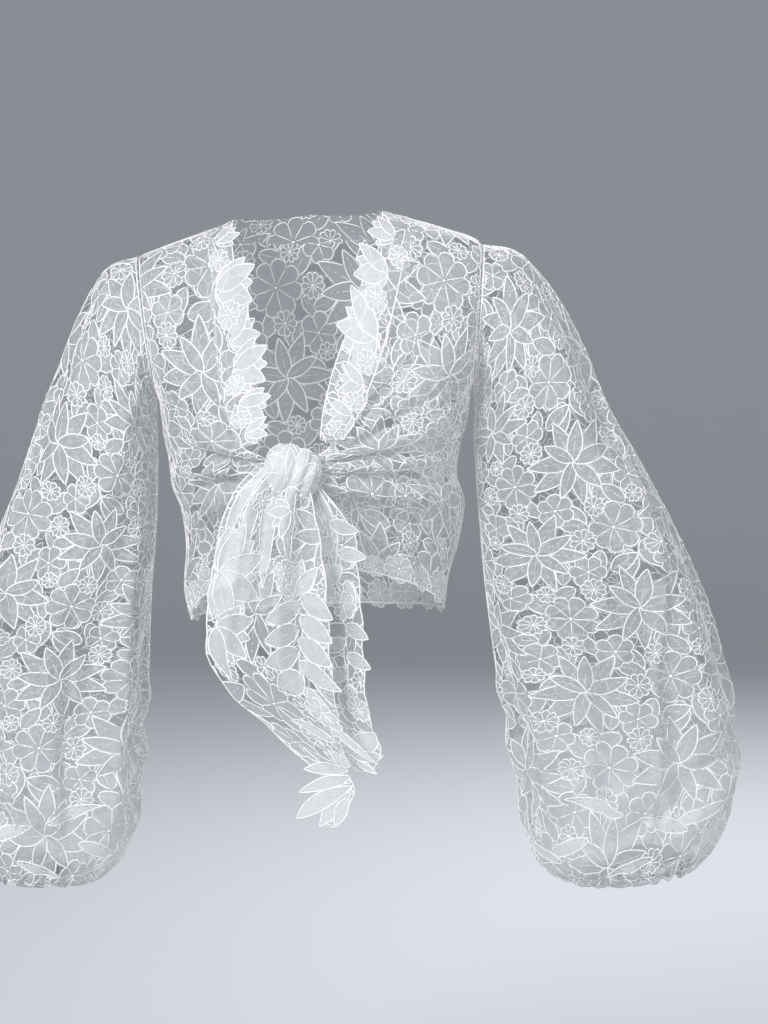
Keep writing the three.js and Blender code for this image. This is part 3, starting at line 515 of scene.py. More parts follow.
sleeve_rings = {
    "left": rows_of("v xOut zOut xIn zIn depth y cut", [
        [0, 172.5, -6, 158.6, -147.5, 57, 0, 424],
        [0.04, 201, -11, 159.4, -160, 60, 0, 440],
        [0.1, 235, -44, 159, -174, 64, 0, 452],
        [0.18, 267, -101, 158, -200, 67, -2, 470],
        [0.27, 291, -165, 159, -240, 70, -4, 492],
        [0.37, 325, -230, 161, -293, 73, -7, 520],
        [0.47, 358, -297, 164, -345, 76, -9, 548],
        [0.57, 386, -364, 169, -400, 79, -11, 572],
        [0.67, 404, -430, 175, -455, 82, -13, 590],
        [0.76, 414, -495, 183, -510, 84, -14, 600],
        [0.83, 415, -546, 190, -558, 82, -15, 604],
        [0.88, 406, -592, 197, -603, 77, -15, 604],
        [0.92, 388, -626, 212, -637, 67, -15, 600],
        [0.955, 364, -645, 244, -653, 52, -15, 596],
        [0.98, 358, -646, 281, -650, 39, -15, 592],
        [1, 358, -634, 286, -634, 37, -15, 590],
    ]),
    "right": rows_of("v xOut zOut xIn zIn depth y cut", [
        [0, 172.5, -6, 158.6, -147.5, 57, 0, 424],
        [0.04, 199, -13, 160, -160, 60, 0, 440],
        [0.1, 228, -50, 160.5, -176, 64, 0, 452],
        [0.18, 254, -107, 161, -204, 67, -2, 470],
        [0.27, 280, -169, 163, -244, 70, -4, 492],
        [0.37, 306, -236, 167, -293, 72, -7, 520],
        [0.47, 336, -300, 173, -343, 75, -9, 546],
        [0.57, 364, -362, 177, -396, 78, -11, 566],
        [0.67, 384, -424, 181, -450, 80, -13, 580],
        [0.76, 395, -484, 187, -502, 81, -14, 590],
        [0.83, 397, -532, 191, -550, 79, -15, 592],
        [0.88, 390, -574, 202, -591, 75, -15, 592],
        [0.92, 376, -604, 220, -621, 66, -15, 590],
        [0.955, 361, -622, 248, -634, 52, -15, 588],
        [0.98, 358, -624, 283, -629, 39, -15, 586],
        [1, 358, -612, 286, -612, 37, -15, 585],
    ]),
}
sleeve_folds = folds_of([
    [24, 40, 40, 250, 12, -6],
    [60, 20, 84, 300, 12, 6],
    [112, 60, 96, 330, 11, -6],
    [150, 40, 140, 420, 12, 6],
    [60, 240, 64, 600, 15, 8],
    [96, 300, 104, 640, 13, -9],
    [140, 330, 150, 650, 15, 9],
    [186, 260, 196, 640, 13, -8],
    [226, 300, 236, 640, 14, 8],
    [18, 330, 24, 640, 13, -8],
    [262, 380, 270, 640, 12, -7],
])
# Creases that the solids leave out: at the sleeve head, down the arm and where the pleats begin
sleeve_creases = folds_of([
    [14, 4, 22, 60, 5, 2.5],
    [40, 4, 48, 52, 5, -2.5],
    [74, 6, 86, 70, 6, 2.5],
    [104, 4, 110, 48, 5, -2.5],
    [136, 8, 130, 90, 6, 2.5],
    [168, 10, 160, 110, 7, -3],
    [44, 520, 40, 660, 6, 3],
    [80, 540, 82, 660, 6, 3],
    [124, 530, 122, 660, 7, -3],
    [168, 540, 172, 660, 6, 3],
    [210, 520, 212, 660, 7, -3],
    [250, 540, 252, 660, 6, 3],
    [284, 560, 284, 660, 6, -3],
    [120, 420, 180, 470, 8, 3],
    [60, 380, 110, 340, 8, -3],
    [170, 180, 120, 240, 8, 3],
    [10, 556, 78, 598, 8, 4],
    [96, 596, 168, 560, 8, -4],
    [188, 562, 260, 600, 9, 4],
    [36, 470, 96, 500, 7, -3],
    [200, 470, 252, 440, 8, 3],
    [16, 150, 62, 330, 6, 7],
    [62, 330, 112, 480, 6, 10],
    [112, 480, 134, 620, 6, 9],
    [200, 240, 226, 430, 6, 7],
    [226, 430, 232, 630, 6, 8],
    [166, 400, 186, 630, 6, -8],
])
# Where the full sleeve slumps over the wrist, in ledges that run on round both sides
sleeve_slumps = folds_of([
    [0, 500, 64, 520, 13, 4.5],
    [0, 536, 84, 566, 8, -6.5],
    [0, 566, 70, 606, 10, 6],
    [0, 596, 60, 634, 6, -4],
    [90, 556, 176, 592, 9, 6],
    [110, 590, 190, 626, 8, -6],
    [188, 548, 252, 520, 10, 6],
    [300, 462, 240, 486, 12, 4],
    [300, 500, 222, 530, 8, -6],
    [300, 532, 216, 572, 11, 6],
    [300, 570, 226, 606, 7, -6],
    [300, 600, 236, 632, 8, 4],
])


def gathered(t):
    return ramp(t - CUFF_START, SLEEVE_LENGTH - CUFF_START)


def sleeve_surface(side):
    hand = HAND[side]
    rings = sleeve_rings[side]

    def bare(s, t):
        ring = row_at(rings, t / SLEEVE_LENGTH)

        def curve(q):
            angle = np.pi * q
            x = swing(ring["xOut"], ring["xIn"], angle)
            return point(x, ring["depth"] * np.sin(angle), swing(ring["zOut"], ring["zIn"], angle))

        share = np.clip(2 * np.abs(s) / ring["cut"], 0, 1)
        found = along_curve(curve, share)[0]
        to_front = np.where(s >= 0, -1, 1)
        return point(hand * found[:, 0], ring["y"] + to_front * found[:, 1], found[:, 2])

    def place(s, t):
        ring = row_at(rings, t / SLEEVE_LENGTH)
        away = np.abs(s)
        room = np.minimum(np.minimum(away, ring["cut"] / 2 - away), t - HEAD_ROOM)
        fade = ramp(room, SLEEVE_FOLD_ROOM) * ramp(CUFF_START - t, CUFF_ROOM)
        pleat = np.cos(2 * np.pi * CUFF_PLEATS * away / ring["cut"])
        folds = fold_height(sleeve_folds, away, t)
        creases = fold_height(sleeve_creases, away, t)
        slumps = fold_height(sleeve_slumps, away, t) * ramp(SLUMP_END - t, SLUMP_ROOM)
        rise = fade * (folds + creases) + slumps + PLEAT_HEIGHT * gathered(t) * pleat
        return bare(s, t) + hand * normal_of(bare, s, t) * rise[:, None]

    return place


def sleeve_cut(side, t):
    return row_at(sleeve_rings[side], t / SLEEVE_LENGTH)["cut"]


# %% [markdown]
# ## The hanging ends of the tie
#
# Both fronts end in a long tapering end. The wearer's right one hangs in front, folded so that
# its leaf border runs down over the plain part behind it.

# %% Describe the hanging ends
tail_rows = {
    "right": rows_of("v xLeft zLeft xRight zRight y cut", [
        [0, -53, -199, -14, -212, -148, 92],
        [0.06, -75, -221, -6, -232, -153, 108],
        [0.14, -89, -247, -2, -260, -155, 122],
        [0.26, -100, -292, 3, -304, -153, 134],
        [0.38, -108, -336, 5, -352, -150, 142],
        [0.5, -112, -380, 6, -402, -147, 144],
        [0.6, -92, -424, 10, -444, -144, 124],
        [0.7, -56, -460, 14, -482, -141, 84],
        [0.8, -26, -500, 19, -508, -139, 52],
        [0.9, -28, -530, 24, -532, -138, 56],
        [1, -16, -562, 2, -564, -137, 22],
    ]),
    "left": rows_of("v xLeft zLeft xRight zRight y cut", [
        [0, -24, -214, 0, -222, -141, 62],
        [0.08, -26, -238, 18, -246, -139, 70],
        [0.18, -27, -268, 34, -276, -132, 78],
        [0.34, -26, -318, 36, -320, -127, 82],
        [0.5, -24, -366, 38, -368, -122, 82],
        [0.66, -22, -416, 38, -418, -121, 78],
        [0.8, -10, -458, 42, -462, -120, 66],
        [0.9, 12, -488, 51, -490, -120, 44],
        [1, 27, -512, 44, -514, -120, 18],
    ]),
}
TAIL_LENGTH = {"right": 372, "left": 304}
tail_folds = {
    "right": folds_of([
        [30, 10, 22, 200, 9, 7],
        [52, 20, 60, 190, 9, -9],
        [78, 6, 86, 230, 10, 9],
        [100, 30, 112, 200, 8, -8],
        [40, 200, 44, 330, 9, 5],
        [66, 60, 70, 180, 4, 2.5],
        [14, 30, 10, 160, 5, -3],
        [112, 90, 120, 230, 5, 2.5],
    ]),
    "left": folds_of([
        [18, 8, 16, 220, 8, 5],
        [38, 10, 40, 250, 8, -6],
        [58, 20, 60, 230, 8, 5],
        [28, 60, 28, 200, 4, -2.5],
    ]),
}


def tail_surface(side):
    rows = tail_rows[side]
    length = TAIL_LENGTH[side]

    def place(s, t):
        row = row_at(rows, t / length)
        u = s / row["cut"]
        x = row["xLeft"] + (row["xRight"] - row["xLeft"]) * u
        z = row["zLeft"] + (row["zRight"] - row["zLeft"]) * u
        return point(x, row["y"] - fold_height(tail_folds[side], s, t), z)

    return place


print("surfaces described")

# %% [markdown]
# ## The lace chart
#
# Embroidered lace comes off the machine with a repeat. Here a tile of 160 by 168 mm holds two
# large flowers, four small ones, two sprays of long leaves, eight rosettes and small leaves
# that fill in. A gap is left wherever no motif reaches, as the real cloth is cut away there.
#
# Every motif is either a leaf or a round flower, so two short formulas tell how far a point
# lies inside one. Later motifs lie over earlier ones, which hides the cords under them.

# %% Chart one repeat of the lace
TILE = (160, 168)
filling_leaves = rows_of("x y turn length width", [
    [34, 98, 262, 34, 0.27],
    [40, 92, 222, 36, 0.24],
    [14, 104, 300, 30, 0.26],
    [62, 112, 280, 28, 0.26],
    [84, 100, 150, 30, 0.26],
    [112, 60, 120, 30, 0.27],
    [124, 66, 85, 30, 0.24],
    [138, 70, 110, 26, 0.26],
    [46, 150, 250, 30, 0.26],
    [30, 150, 75, 32, 0.27],
    [58, 142, 60, 30, 0.27],
    [16, 146, 100, 34, 0.25],
    [56, 166, 195, 34, 0.25],
    [92, 150, 330, 30, 0.27],
    [106, 168, 250, 28, 0.26],
    [96, 6, 20, 30, 0.25],
    [132, 30, 300, 34, 0.26],
    [138, 50, 35, 30, 0.26],
    [150, 60, 340, 26, 0.27],
    [160, 118, 200, 32, 0.25],
    [4, 118, 80, 28, 0.27],
    [84, 138, 300, 22, 0.3],
])
flowers = rows_of("x y radius petals turn", [
    [112, 40, 27, 8, 10],
    [34, 124, 27, 8, 30],
    [82, 84, 19, 6, 15],
    [154, 82, 20, 6, 40],
    [78, 160, 18, 6, 40],
    [158, 4, 17, 6, 40],
])
sprays = rows_of("x y radius petals turn", [
    [42, 44, 52, 11, 12],
    [120, 126, 52, 11, 30],
])
rosettes = rows_of("x y radius petals turn", [
    [80, 12, 12, 10, 0],
    [150, 40, 12, 10, 0],
    [120, 72, 12, 9, 0],
    [44, 96, 11, 9, 0],
    [4, 154, 12, 10, 0],
    [70, 126, 13, 9, 0],
    [128, 8, 10, 9, 0],
    [2, 100, 9, 8, 0],
])
SPRAY_LEAF_LENGTHS = (1.0, 0.8, 0.92, 0.74, 0.96, 0.84)
SPRAY_LEAF_WIDTH = 0.185
FAN_LEAF_LENGTHS = (0.82, 1.0, 0.9, 0.96)
FAN_LEAF_WIDTH = 0.23
FROND_SPREAD = 66
FROND_TIP = (0.9, 0.2)
LEAF_FULLNESS = 0.8
LEAF_REACH = 0.62
LEAF_MARGIN = 4
LEAF_STEP = 4.5
LEAF_STEPS = 5
RIB_STITCHES = ((0.08, 0.5), (0.58, 0.65), (0.73, 0.8))
RIB_CORD = 0.6
FLOWER_MARGIN = 3
LARGE_FLOWER = 22
SMALL_FLOWER = 15
PETAL_NOTCH = 0.24
PETAL_LINE = (0.1, 0.78)
PETAL_CORD = 0.8
CENTRE_KNOT = 3.6
CENTRE_HALF = 1.4
FAR_OUTSIDE = -99.0

# Where the repeat begins on each piece, so that no two pieces show the same part of it
lace_shift = {
    "front_left": (20, 30),
    "front_right": (64, 96),
    "back": (10, 52),
    "tail_right": (96, 20),
    "tail_left": (30, 110),
    "sleeve_left": (58, 8),
    "sleeve_right": (118, 60),
    "band": (30, 12),
    "knot": (6, 4),
}


class Leaf:
    """A pointed leaf: its foot, the way it points, its length and its half width."""

    def __init__(self, s, t, turn, length, width, border=False):
        self.s, self.t, self.length, self.width, self.border = s, t, length, width, border
        self.along = np.array([math.cos(math.radians(turn)), math.sin(math.radians(turn))])
        middle = np.array([s, t]) + self.along * length / 2
        self.middle, self.reach = middle, length * LEAF_REACH + LEAF_MARGIN

    def half_at(self, share):
        return self.width * np.sin(np.pi * share**LEAF_FULLNESS) ** LEAF_FULLNESS

    def inside(self, s, t):
        ds, dt = s - self.s, t - self.t
        along = (ds * self.along[0] + dt * self.along[1]) / self.length
        across = dt * self.along[0] - ds * self.along[1]
        near = np.clip(along, 0, 1)
        return self.half_at(near) - np.abs(across) - np.abs(along - near) * self.length * 2

    def lines(self):
        """The outline and the midrib's stitches, as flat points, with the share of a full cord."""
        count = max(LEAF_STEPS, round(self.length / LEAF_STEP))
        u = (1 - np.cos(np.linspace(0, np.pi, count + 1))) / 2
        half = self.half_at(u)
        half[-1] = 0
        u = np.concatenate([u, u[-2::-1]])
        half = np.concatenate([half, -half[-2::-1]])
        side = np.array([-self.along[1], self.along[0]])
        foot = np.array([self.s, self.t])
        outline = foot + np.outer(u * self.length, self.along) + np.outer(half, side)
        found = [(outline, 1.0)]
        for stitch in RIB_STITCHES:
            found.append((foot + np.outer(np.array(stitch) * self.length, self.along), RIB_CORD))
        return found


class Flower:
    """A round flower: its middle, its radius, how many petals and how far it is turned."""

    def __init__(self, s, t, radius, petals, turn, border=False):
        self.s, self.t, self.radius, self.petals, self.border = s, t, radius, int(petals), border
        self.turn = math.radians(turn)
        self.middle, self.reach = np.array([s, t]), radius + FLOWER_MARGIN

    def edge(self, angle):
        petal = np.sqrt(np.abs(np.cos((angle - self.turn) * self.petals / 2)))
        return self.radius * (1 - PETAL_NOTCH + PETAL_NOTCH * petal)

    def inside(self, s, t):
        ds, dt = s - self.s, t - self.t
        return self.edge(np.arctan2(dt, ds)) - np.hypot(ds, dt)

    def lines(self):
        per_petal = 4 + (self.radius > SMALL_FLOWER) + (self.radius > LARGE_FLOWER)
        notch = self.turn + np.pi / self.petals
        angle = notch + np.linspace(0, 2 * np.pi, per_petal * self.petals + 1)
        rim = np.stack([np.cos(angle), np.sin(angle)], axis=1) * self.edge(angle)[:, None]
        middle = np.array([self.s, self.t])
        found = [(middle + rim, 1.0)]
        for k in range(self.petals):
            way = notch + 2 * np.pi * k / self.petals
            share = np.linspace(*PETAL_LINE, 3 + (self.radius > LARGE_FLOWER))[:, None]
            found.append((middle + share * self.radius * [math.cos(way), math.sin(way)], PETAL_CORD))
        found.append((middle + np.array([[-CENTRE_HALF, 0], [CENTRE_HALF, 0]]), CENTRE_KNOT))
        return found


class Stitching:
    """A line of stitches, such as a seam or the cord along a hem. It adds no cloth."""

    border = True
    reach = 0

    def __init__(self, line, share=1.0):
        self.line, self.share = np.asarray(line, float), share
        self.middle = self.line[0]

    def inside(self, s, t):
        return np.full(np.shape(s), FAR_OUTSIDE)

    def lines(self):
        return [(self.line, self.share)]


def spray_of(s, t, radius, petals, turn):
    """Long leaves set round a point, the even ones laid first."""
    petals = int(petals)
    order = [*range(0, petals, 2), *range(1, petals, 2)]
    found = []
    for i in order:
        length = radius * SPRAY_LEAF_LENGTHS[i % len(SPRAY_LEAF_LENGTHS)]
        found.append(Leaf(s, t, turn + 360 * i / petals, length, length * SPRAY_LEAF_WIDTH))
    return found


def fan_of(s, t, radius, leaves, first, last):
    """A fan of leaves from a point, turned from the first angle to the last."""
    found = []
    for i, turn in enumerate(np.linspace(first, last, int(leaves))):
        length = radius * FAN_LEAF_LENGTHS[i % len(FAN_LEAF_LENGTHS)]
        found.append(Leaf(s, t, turn, length, length * FAN_LEAF_WIDTH, True))
    return found[::2] + found[1::2]


def frond_of(s, t, turn, length, pairs, leaf):
    """A rib with leaves set in turn on its two sides, and one leaf at its end."""
    way = np.array([math.cos(math.radians(turn)), math.sin(math.radians(turn))])
    foot = np.array([s, t])
    found = []
    for i in range(2 * int(pairs)):
        start = foot + way * length * i / (2 * pairs)
        side = FROND_SPREAD if i % 2 else -FROND_SPREAD
        found.append(Leaf(*start, turn + side, leaf, leaf * FAN_LEAF_WIDTH, True))
    tip_length, tip_width = (share * leaf for share in FROND_TIP)
    found.append(Leaf(*(foot + way * length), turn, tip_length, tip_width, True))
    return found + [Stitching([foot, foot + way * length])]


def repeat_of_lace(outline, name):
    """The motifs of every tile that reaches a flat piece, lowest first."""
    low, high = outline.min(axis=0), outline.max(axis=0)
    shift = np.array(lace_shift[name])
    first = np.floor((low - shift) / TILE).astype(int) - 1
    last = np.ceil((high - shift) / TILE).astype(int) + 1
    tiles = [(i, j) for i in range(first[0], last[0]) for j in range(first[1], last[1])]
    corners = [shift + np.multiply(tile, TILE) for tile in tiles]
    found = []
    for x, y, turn, length, width in each_row(filling_leaves):
        found += [Leaf(a + x, b + y, turn, length, length * width) for a, b in corners]
    for x, y, *shape in each_row(flowers):
        found += [Flower(a + x, b + y, *shape) for a, b in corners]
    for x, y, *shape in each_row(sprays):
        for a, b in corners:
            found += spray_of(a + x, b + y, *shape)
    for x, y, *shape in each_row(rosettes):
        found += [Flower(a + x, b + y, *shape) for a, b in corners]
    margin = np.array([m.reach for m in found])[:, None]
    middles = np.array([m.middle for m in found])
    near = np.all((middles + margin > low) & (middles - margin < high), axis=1)
    return [motif for motif, wanted in zip(found, near) if wanted]


print("motifs in one repeat:", sum(len(t["x"]) for t in (filling_leaves, flowers, sprays, rosettes)))

# %% [markdown]
# ## Cutting the organza
#
# The flat piece is a fine grid of squares. A field says how far each corner lies inside the
# cloth: inside the piece's outline and inside some motif, or inside a motif of the border,
# which may stand past the outline. Squares are split in two triangles, and a triangle that the
# edge crosses is cut along it. So the gaps and the leaf tips come out clean.

# %% Cut a flat piece
GRID = 4.0
# How far the cloth is left standing past a motif, within the piece and in its border
GAP_EDGE = 1
BORDER_EDGE = 0.3
# No corner of the grid lies nearer to an edge than this, so no sliver is cut
CORNER_ROOM = 0.25
TINY = 1e-9


def inside_outline(outline, s, t):
    """How far points lie inside a flat outline, below zero outside it."""
    distance = np.full(s.shape, np.inf)
    inside = np.zeros(s.shape, bool)
    for (s0, t0), (s1, t1) in zip(outline, np.roll(outline, -1, axis=0)):
        ds, dt = s1 - s0, t1 - t0
        along = np.clip(((s - s0) * ds + (t - t0) * dt) / (ds * ds + dt * dt + TINY), 0, 1)
        distance = np.minimum(distance, np.hypot(s - s0 - along * ds, t - t0 - along * dt))
        if dt != 0:
            inside ^= ((t1 > t) != (t0 > t)) & (s < (s0 - s1) * (t - t1) / (t0 - t1) + s1)
    return np.where(inside, distance, -distance)


def cut_grid(outline, motifs, border_margin, grid):
    """A flat grid, how far each corner lies inside the cloth, and where it is a border leaf."""
    tips = [m.middle + k * m.reach for m in motifs if m.border for k in (-1, 1)]
    every = np.vstack([outline, *([tips] if tips else [])])
    low, high = every.min(axis=0) - grid, every.max(axis=0) + grid
    s = np.arange(low[0], high[0], grid)
    t = np.arange(low[1], high[1], grid)
    grid_s, grid_t = np.meshgrid(s, t)
    lace = np.full(grid_s.shape, FAR_OUTSIDE)
    border = np.full(grid_s.shape, FAR_OUTSIDE)
    for motif in motifs:
        span = np.array([-motif.reach, motif.reach])
        i0, i1 = np.searchsorted(s, motif.middle[0] + span)
        j0, j1 = np.searchsorted(t, motif.middle[1] + span)
        if i1 > i0 and j1 > j0:
            window = np.s_[j0:j1, i0:i1]
            depth = motif.inside(grid_s[window], grid_t[window])
            layer = border if motif.border else lace
            layer[window] = np.maximum(layer[window], depth)
    whole = inside_outline(outline, grid_s, grid_t)
    lace_field = np.minimum(lace + GAP_EDGE, whole)
    field = np.maximum(lace_field, np.minimum(border + BORDER_EDGE, whole + border_margin))
    clear = np.where(field < 0, -CORNER_ROOM, CORNER_ROOM)
    field = np.where(np.abs(field) < CORNER_ROOM, clear, field)
    return grid_s, grid_t, field, border > 0


def clip_triangles(grid_s, grid_t, field, dense):
    """The triangles of the cloth: flat points, corner numbers, and which lie in a border leaf."""
    rows, columns = field.shape
    number = np.arange(rows * columns).reshape(rows, columns)
    a, b, c, d = number[:-1, :-1], number[:-1, 1:], number[1:, 1:], number[1:, :-1]
    odd = (np.add.outer(np.arange(rows - 1), np.arange(columns - 1)) % 2).astype(bool)
    first = np.where(odd[..., None], np.stack([a, b, c], -1), np.stack([a, b, d], -1))
    second = np.where(odd[..., None], np.stack([a, c, d], -1), np.stack([b, c, d], -1))
    triangles = np.concatenate([first.reshape(-1, 3), second.reshape(-1, 3)])
    value = field.ravel()
    inside = value[triangles] > 0
    count = inside.sum(axis=1)

    def turned_to(picked, corner):
        return np.stack([picked[np.arange(len(picked)), (corner + k) % 3] for k in range(3)], axis=1)

    one = turned_to(triangles[count == 1], np.argmax(inside[count == 1], axis=1))
    two = turned_to(triangles[count == 2], np.argmin(inside[count == 2], axis=1))
    size = rows * columns

    def crossing(p, q):
        return np.minimum(p, q) * size + np.maximum(p, q) + size

    parts = [
        triangles[count == 3],
        np.stack([one[:, 0], crossing(one[:, 0], one[:, 1]), crossing(one[:, 0], one[:, 2])], axis=1),
        np.stack([crossing(two[:, 0], two[:, 1]), two[:, 1], two[:, 2]], axis=1),
        np.stack([crossing(two[:, 0], two[:, 1]), two[:, 2], crossing(two[:, 0], two[:, 2])], axis=1),
    ]
    coded = np.concatenate(parts)
    used, faces = np.unique(coded, return_inverse=True)
    faces = faces.reshape(-1, 3)
    at_edge = used >= size
    low = np.where(at_edge, (used - size) // size, used)
    high = np.where(at_edge, (used - size) % size, used)
    gap = value[low] - value[high]
    part = np.where(at_edge, value[low] / np.where(gap == 0, 1, gap), 0)
    flat_s, flat_t = grid_s.ravel(), grid_t.ravel()
    s = flat_s[low] + (flat_s[high] - flat_s[low]) * part
    t = flat_t[low] + (flat_t[high] - flat_t[low]) * part
    thick = dense.ravel()[low] | dense.ravel()[high]
    return s, t, faces, thick[faces].sum(axis=1) >= 2


# %% [markdown]
# ## Laying the cords
#
# The satin cord is stitched along every petal and leaf, and thinner along the midribs. Each
# line of a motif is a run of flat points. Where a later motif lies over it, or the piece ends,
# the run is broken off exactly at that edge. A run then becomes a thin tube of four sides,
# wider than it is high, as stitched cord is.

# %% Break the lines where something lies over them
CORD_WIDTH = 0.76
CORD_HEIGHT = 0.52
CORD_END = 0.55
CORD_STEP = 1.0
CORD_SIDES = 4
OVERLAP = 0.2
SHORTEST_RUN = 2.5
# The flat map is in centimetres
MAP_UNIT = 10


def visible_runs(outline, motifs, border_margin):
    """The parts of every motif's lines that no later motif and no edge hides."""
    lines = []
    for number, motif in enumerate(motifs):
        lines += [(line, share, number) for line, share in motif.lines()]
    counts = [len(line) for line, _, _ in lines]
    points = np.concatenate([line for line, _, _ in lines])
    owner = np.repeat([number for _, _, number in lines], counts)
    allowed = np.array([border_margin if motif.border else 0 for motif in motifs])
    hidden = -inside_outline(outline, *points.T) - allowed[owner]
    for number, motif in enumerate(motifs):
        away = np.abs(points - motif.middle).max(axis=1)
        near = np.flatnonzero((owner < number) & (away < motif.reach))
        over = motif.inside(*points[near].T) - OVERLAP
        hidden[near] = np.maximum(hidden[near], over)
    runs = []
    ends = np.cumsum(counts)
    for (line, share, _), end in zip(lines, ends):
        runs += split_run(line, hidden[end - len(line):end], share)
    return runs


def split_run(line, hidden, share):
    """The stretches of a line that show, ended where hidden crosses zero."""
    shown = hidden < 0
    if shown.all():
        return [(line, share)]
    runs = []
    current = [line[0]] if shown[0] else []
    for k in range(1, len(line)):
        if shown[k] != shown[k - 1]:
            part = hidden[k - 1] / (hidden[k - 1] - hidden[k])
            current.append(line[k - 1] + (line[k] - line[k - 1]) * part)
            if not shown[k]:
                runs.append(current)
                current = []
        if shown[k]:
            current.append(line[k])
    if current:
        runs.append(current)
    found = []
    for run in runs:
        run = np.array(run)
        length = np.linalg.norm(np.diff(run, axis=0), axis=1).sum() if len(run) > 1 else 0
        if length > SHORTEST_RUN:
            found.append((run, share))
    return found


# %% Make the tubes of all runs at once
def cord_tubes(runs, place):
    """Vertices and faces of a tube along every run, laid on the worn surface."""
    flat = np.concatenate([run for run, _ in runs])
    counts = np.array([len(run) for run, _ in runs])
    first = np.concatenate([[0], np.cumsum(counts)[:-1]])
    size = np.repeat([share for _, share in runs], counts)
    is_first = np.zeros(len(flat), bool)
    is_first[first] = True
    is_last = np.zeros(len(flat), bool)
    is_last[first + counts - 1] = True
    size = np.where(is_first | is_last, size * CORD_END, size)
    after = np.where(is_last[:, None], flat, np.roll(flat, -1, axis=0))
    before = np.where(is_first[:, None], flat, np.roll(flat, 1, axis=0))
    way = unit(after - before)
    s, t = flat.T
    centre = place(s, t)
    along_s = place(s + CORD_STEP, t) - centre
    along_t = place(s, t + CORD_STEP) - centre
    across = unit(along_s * -way[:, 1:] + along_t * way[:, :1]) * (CORD_WIDTH * size)[:, None]
    outward = unit(np.cross(along_s, along_t)) * (CORD_HEIGHT * size)[:, None]
    ring = [centre + across, centre + outward, centre - across, centre - outward]
    vertices = np.stack(ring, axis=1).reshape(-1, 3)
    starts = np.flatnonzero(~is_last)[:, None] * CORD_SIDES
    corner = np.arange(CORD_SIDES)
    faces = []
    for k in corner:
        n = (k + 1) % CORD_SIDES
        faces.append(starts + [k, CORD_SIDES + k, CORD_SIDES + n, n])
    faces.append(np.flatnonzero(is_first)[:, None] * CORD_SIDES + corner)
    faces.append(np.flatnonzero(is_last)[:, None] * CORD_SIDES + corner[::-1])
    length = np.concatenate([[0], np.cumsum(np.linalg.norm(np.diff(flat, axis=0), axis=1))])
    around = np.tile(corner / CORD_SIDES, len(flat))
    uv = flat_line(np.repeat(length, CORD_SIDES) / MAP_UNIT, around)
    return vertices, np.concatenate(faces), uv


# %% [markdown]
# ## Materials
#
# Organza is a crisp, sheer plain weave of fine twisted yarn. Light passes between the threads,
# so it is drawn as a half clear surface, pale and a little cool, with a soft sheen at grazing
# angles. It is denser where it lies double, and densest where it is bunched. The weave, about
# 0.3 mm, is too fine to show, so it is drawn at 1 mm as a faint bump.
#
# The embroidery is rayon thread laid in satin stitch. It is opaque, very white and a little
# glossy along the stitches, which cross the cord every half millimetre or so.

# %% Materials from their real names
def linear(code):
    """An sRGB hex colour as linear red, green, blue and one for alpha."""
    values = [int(code[i:i + 2], 16) / 255 for i in (1, 3, 5)]
    return [c / 12.92 if c <= 0.04045 else ((c + 0.055) / 1.055) ** 2.4 for c in values] + [1]


def add_node(tree, kind, settings=None, links=None, **sockets):
    """Add a node, set its properties and sockets, and link its inputs from other sockets."""
    node = tree.nodes.new(kind)
    for name, value in (settings or {}).items():
        setattr(node, name, value)
    for name, value in sockets.items():
        node.inputs[name.replace("_", " ")].default_value = value
    for name, source in (links or {}).items():
        tree.links.new(source, node.inputs[name])
    return node


def cloth_material(name, colour, shade, alpha, roughness, sheen, pitch_mm, bump):
    """Woven or stitched cloth: threads across and along the piece's own flat map, in cm."""
    material = bpy.data.materials.new(name)
    material.use_nodes = True
    tree = material.node_tree
    tree.nodes.clear()
    flat = add_node(tree, "ShaderNodeUVMap", {"uv_map": "flat"})
    scale = MAP_UNIT / pitch_mm / 2
    waves = []
    for direction in ("X", "Y"):
        settings = {"wave_type": "BANDS", "bands_direction": direction, "wave_profile": "SIN"}
        links = {"Vector": flat.outputs["UV"]}
        wave = add_node(tree, "ShaderNodeTexWave", settings, links, Scale=scale, Distortion=0.4)
        waves.append(wave)
    weave = add_node(tree, "ShaderNodeMath", {"operation": "MULTIPLY"})
    tree.links.new(waves[0].outputs["Fac"], weave.inputs[0])
    tree.links.new(waves[1].outputs["Fac"], weave.inputs[1])
    links = {"Vector": flat.outputs["UV"]}
    cloudy = add_node(tree, "ShaderNodeTexNoise", None, links, Scale=1.3, Detail=2.0)
    tint = add_node(tree, "ShaderNodeMix", {"data_type": "RGBA"}, {"Factor": cloudy.outputs["Fac"]})
    tint.inputs["A"].default_value = linear(shade)
    tint.inputs["B"].default_value = linear(colour)
    relief = add_node(
        tree, "ShaderNodeBump", None, {"Height": weave.outputs["Value"]},
        Strength=bump, Distance=pitch_mm * MM * 0.3,
    )
    links = {"Base Color": tint.outputs["Result"], "Normal": relief.outputs["Normal"]}
    shader = add_node(
        tree, "ShaderNodeBsdfPrincipled", None, links,
        Roughness=roughness, IOR=1.45, Alpha=alpha, Sheen_Weight=sheen, Sheen_Roughness=0.4,
    )
    add_node(tree, "ShaderNodeOutputMaterial", None, {"Surface": shader.outputs["BSDF"]})
    return material


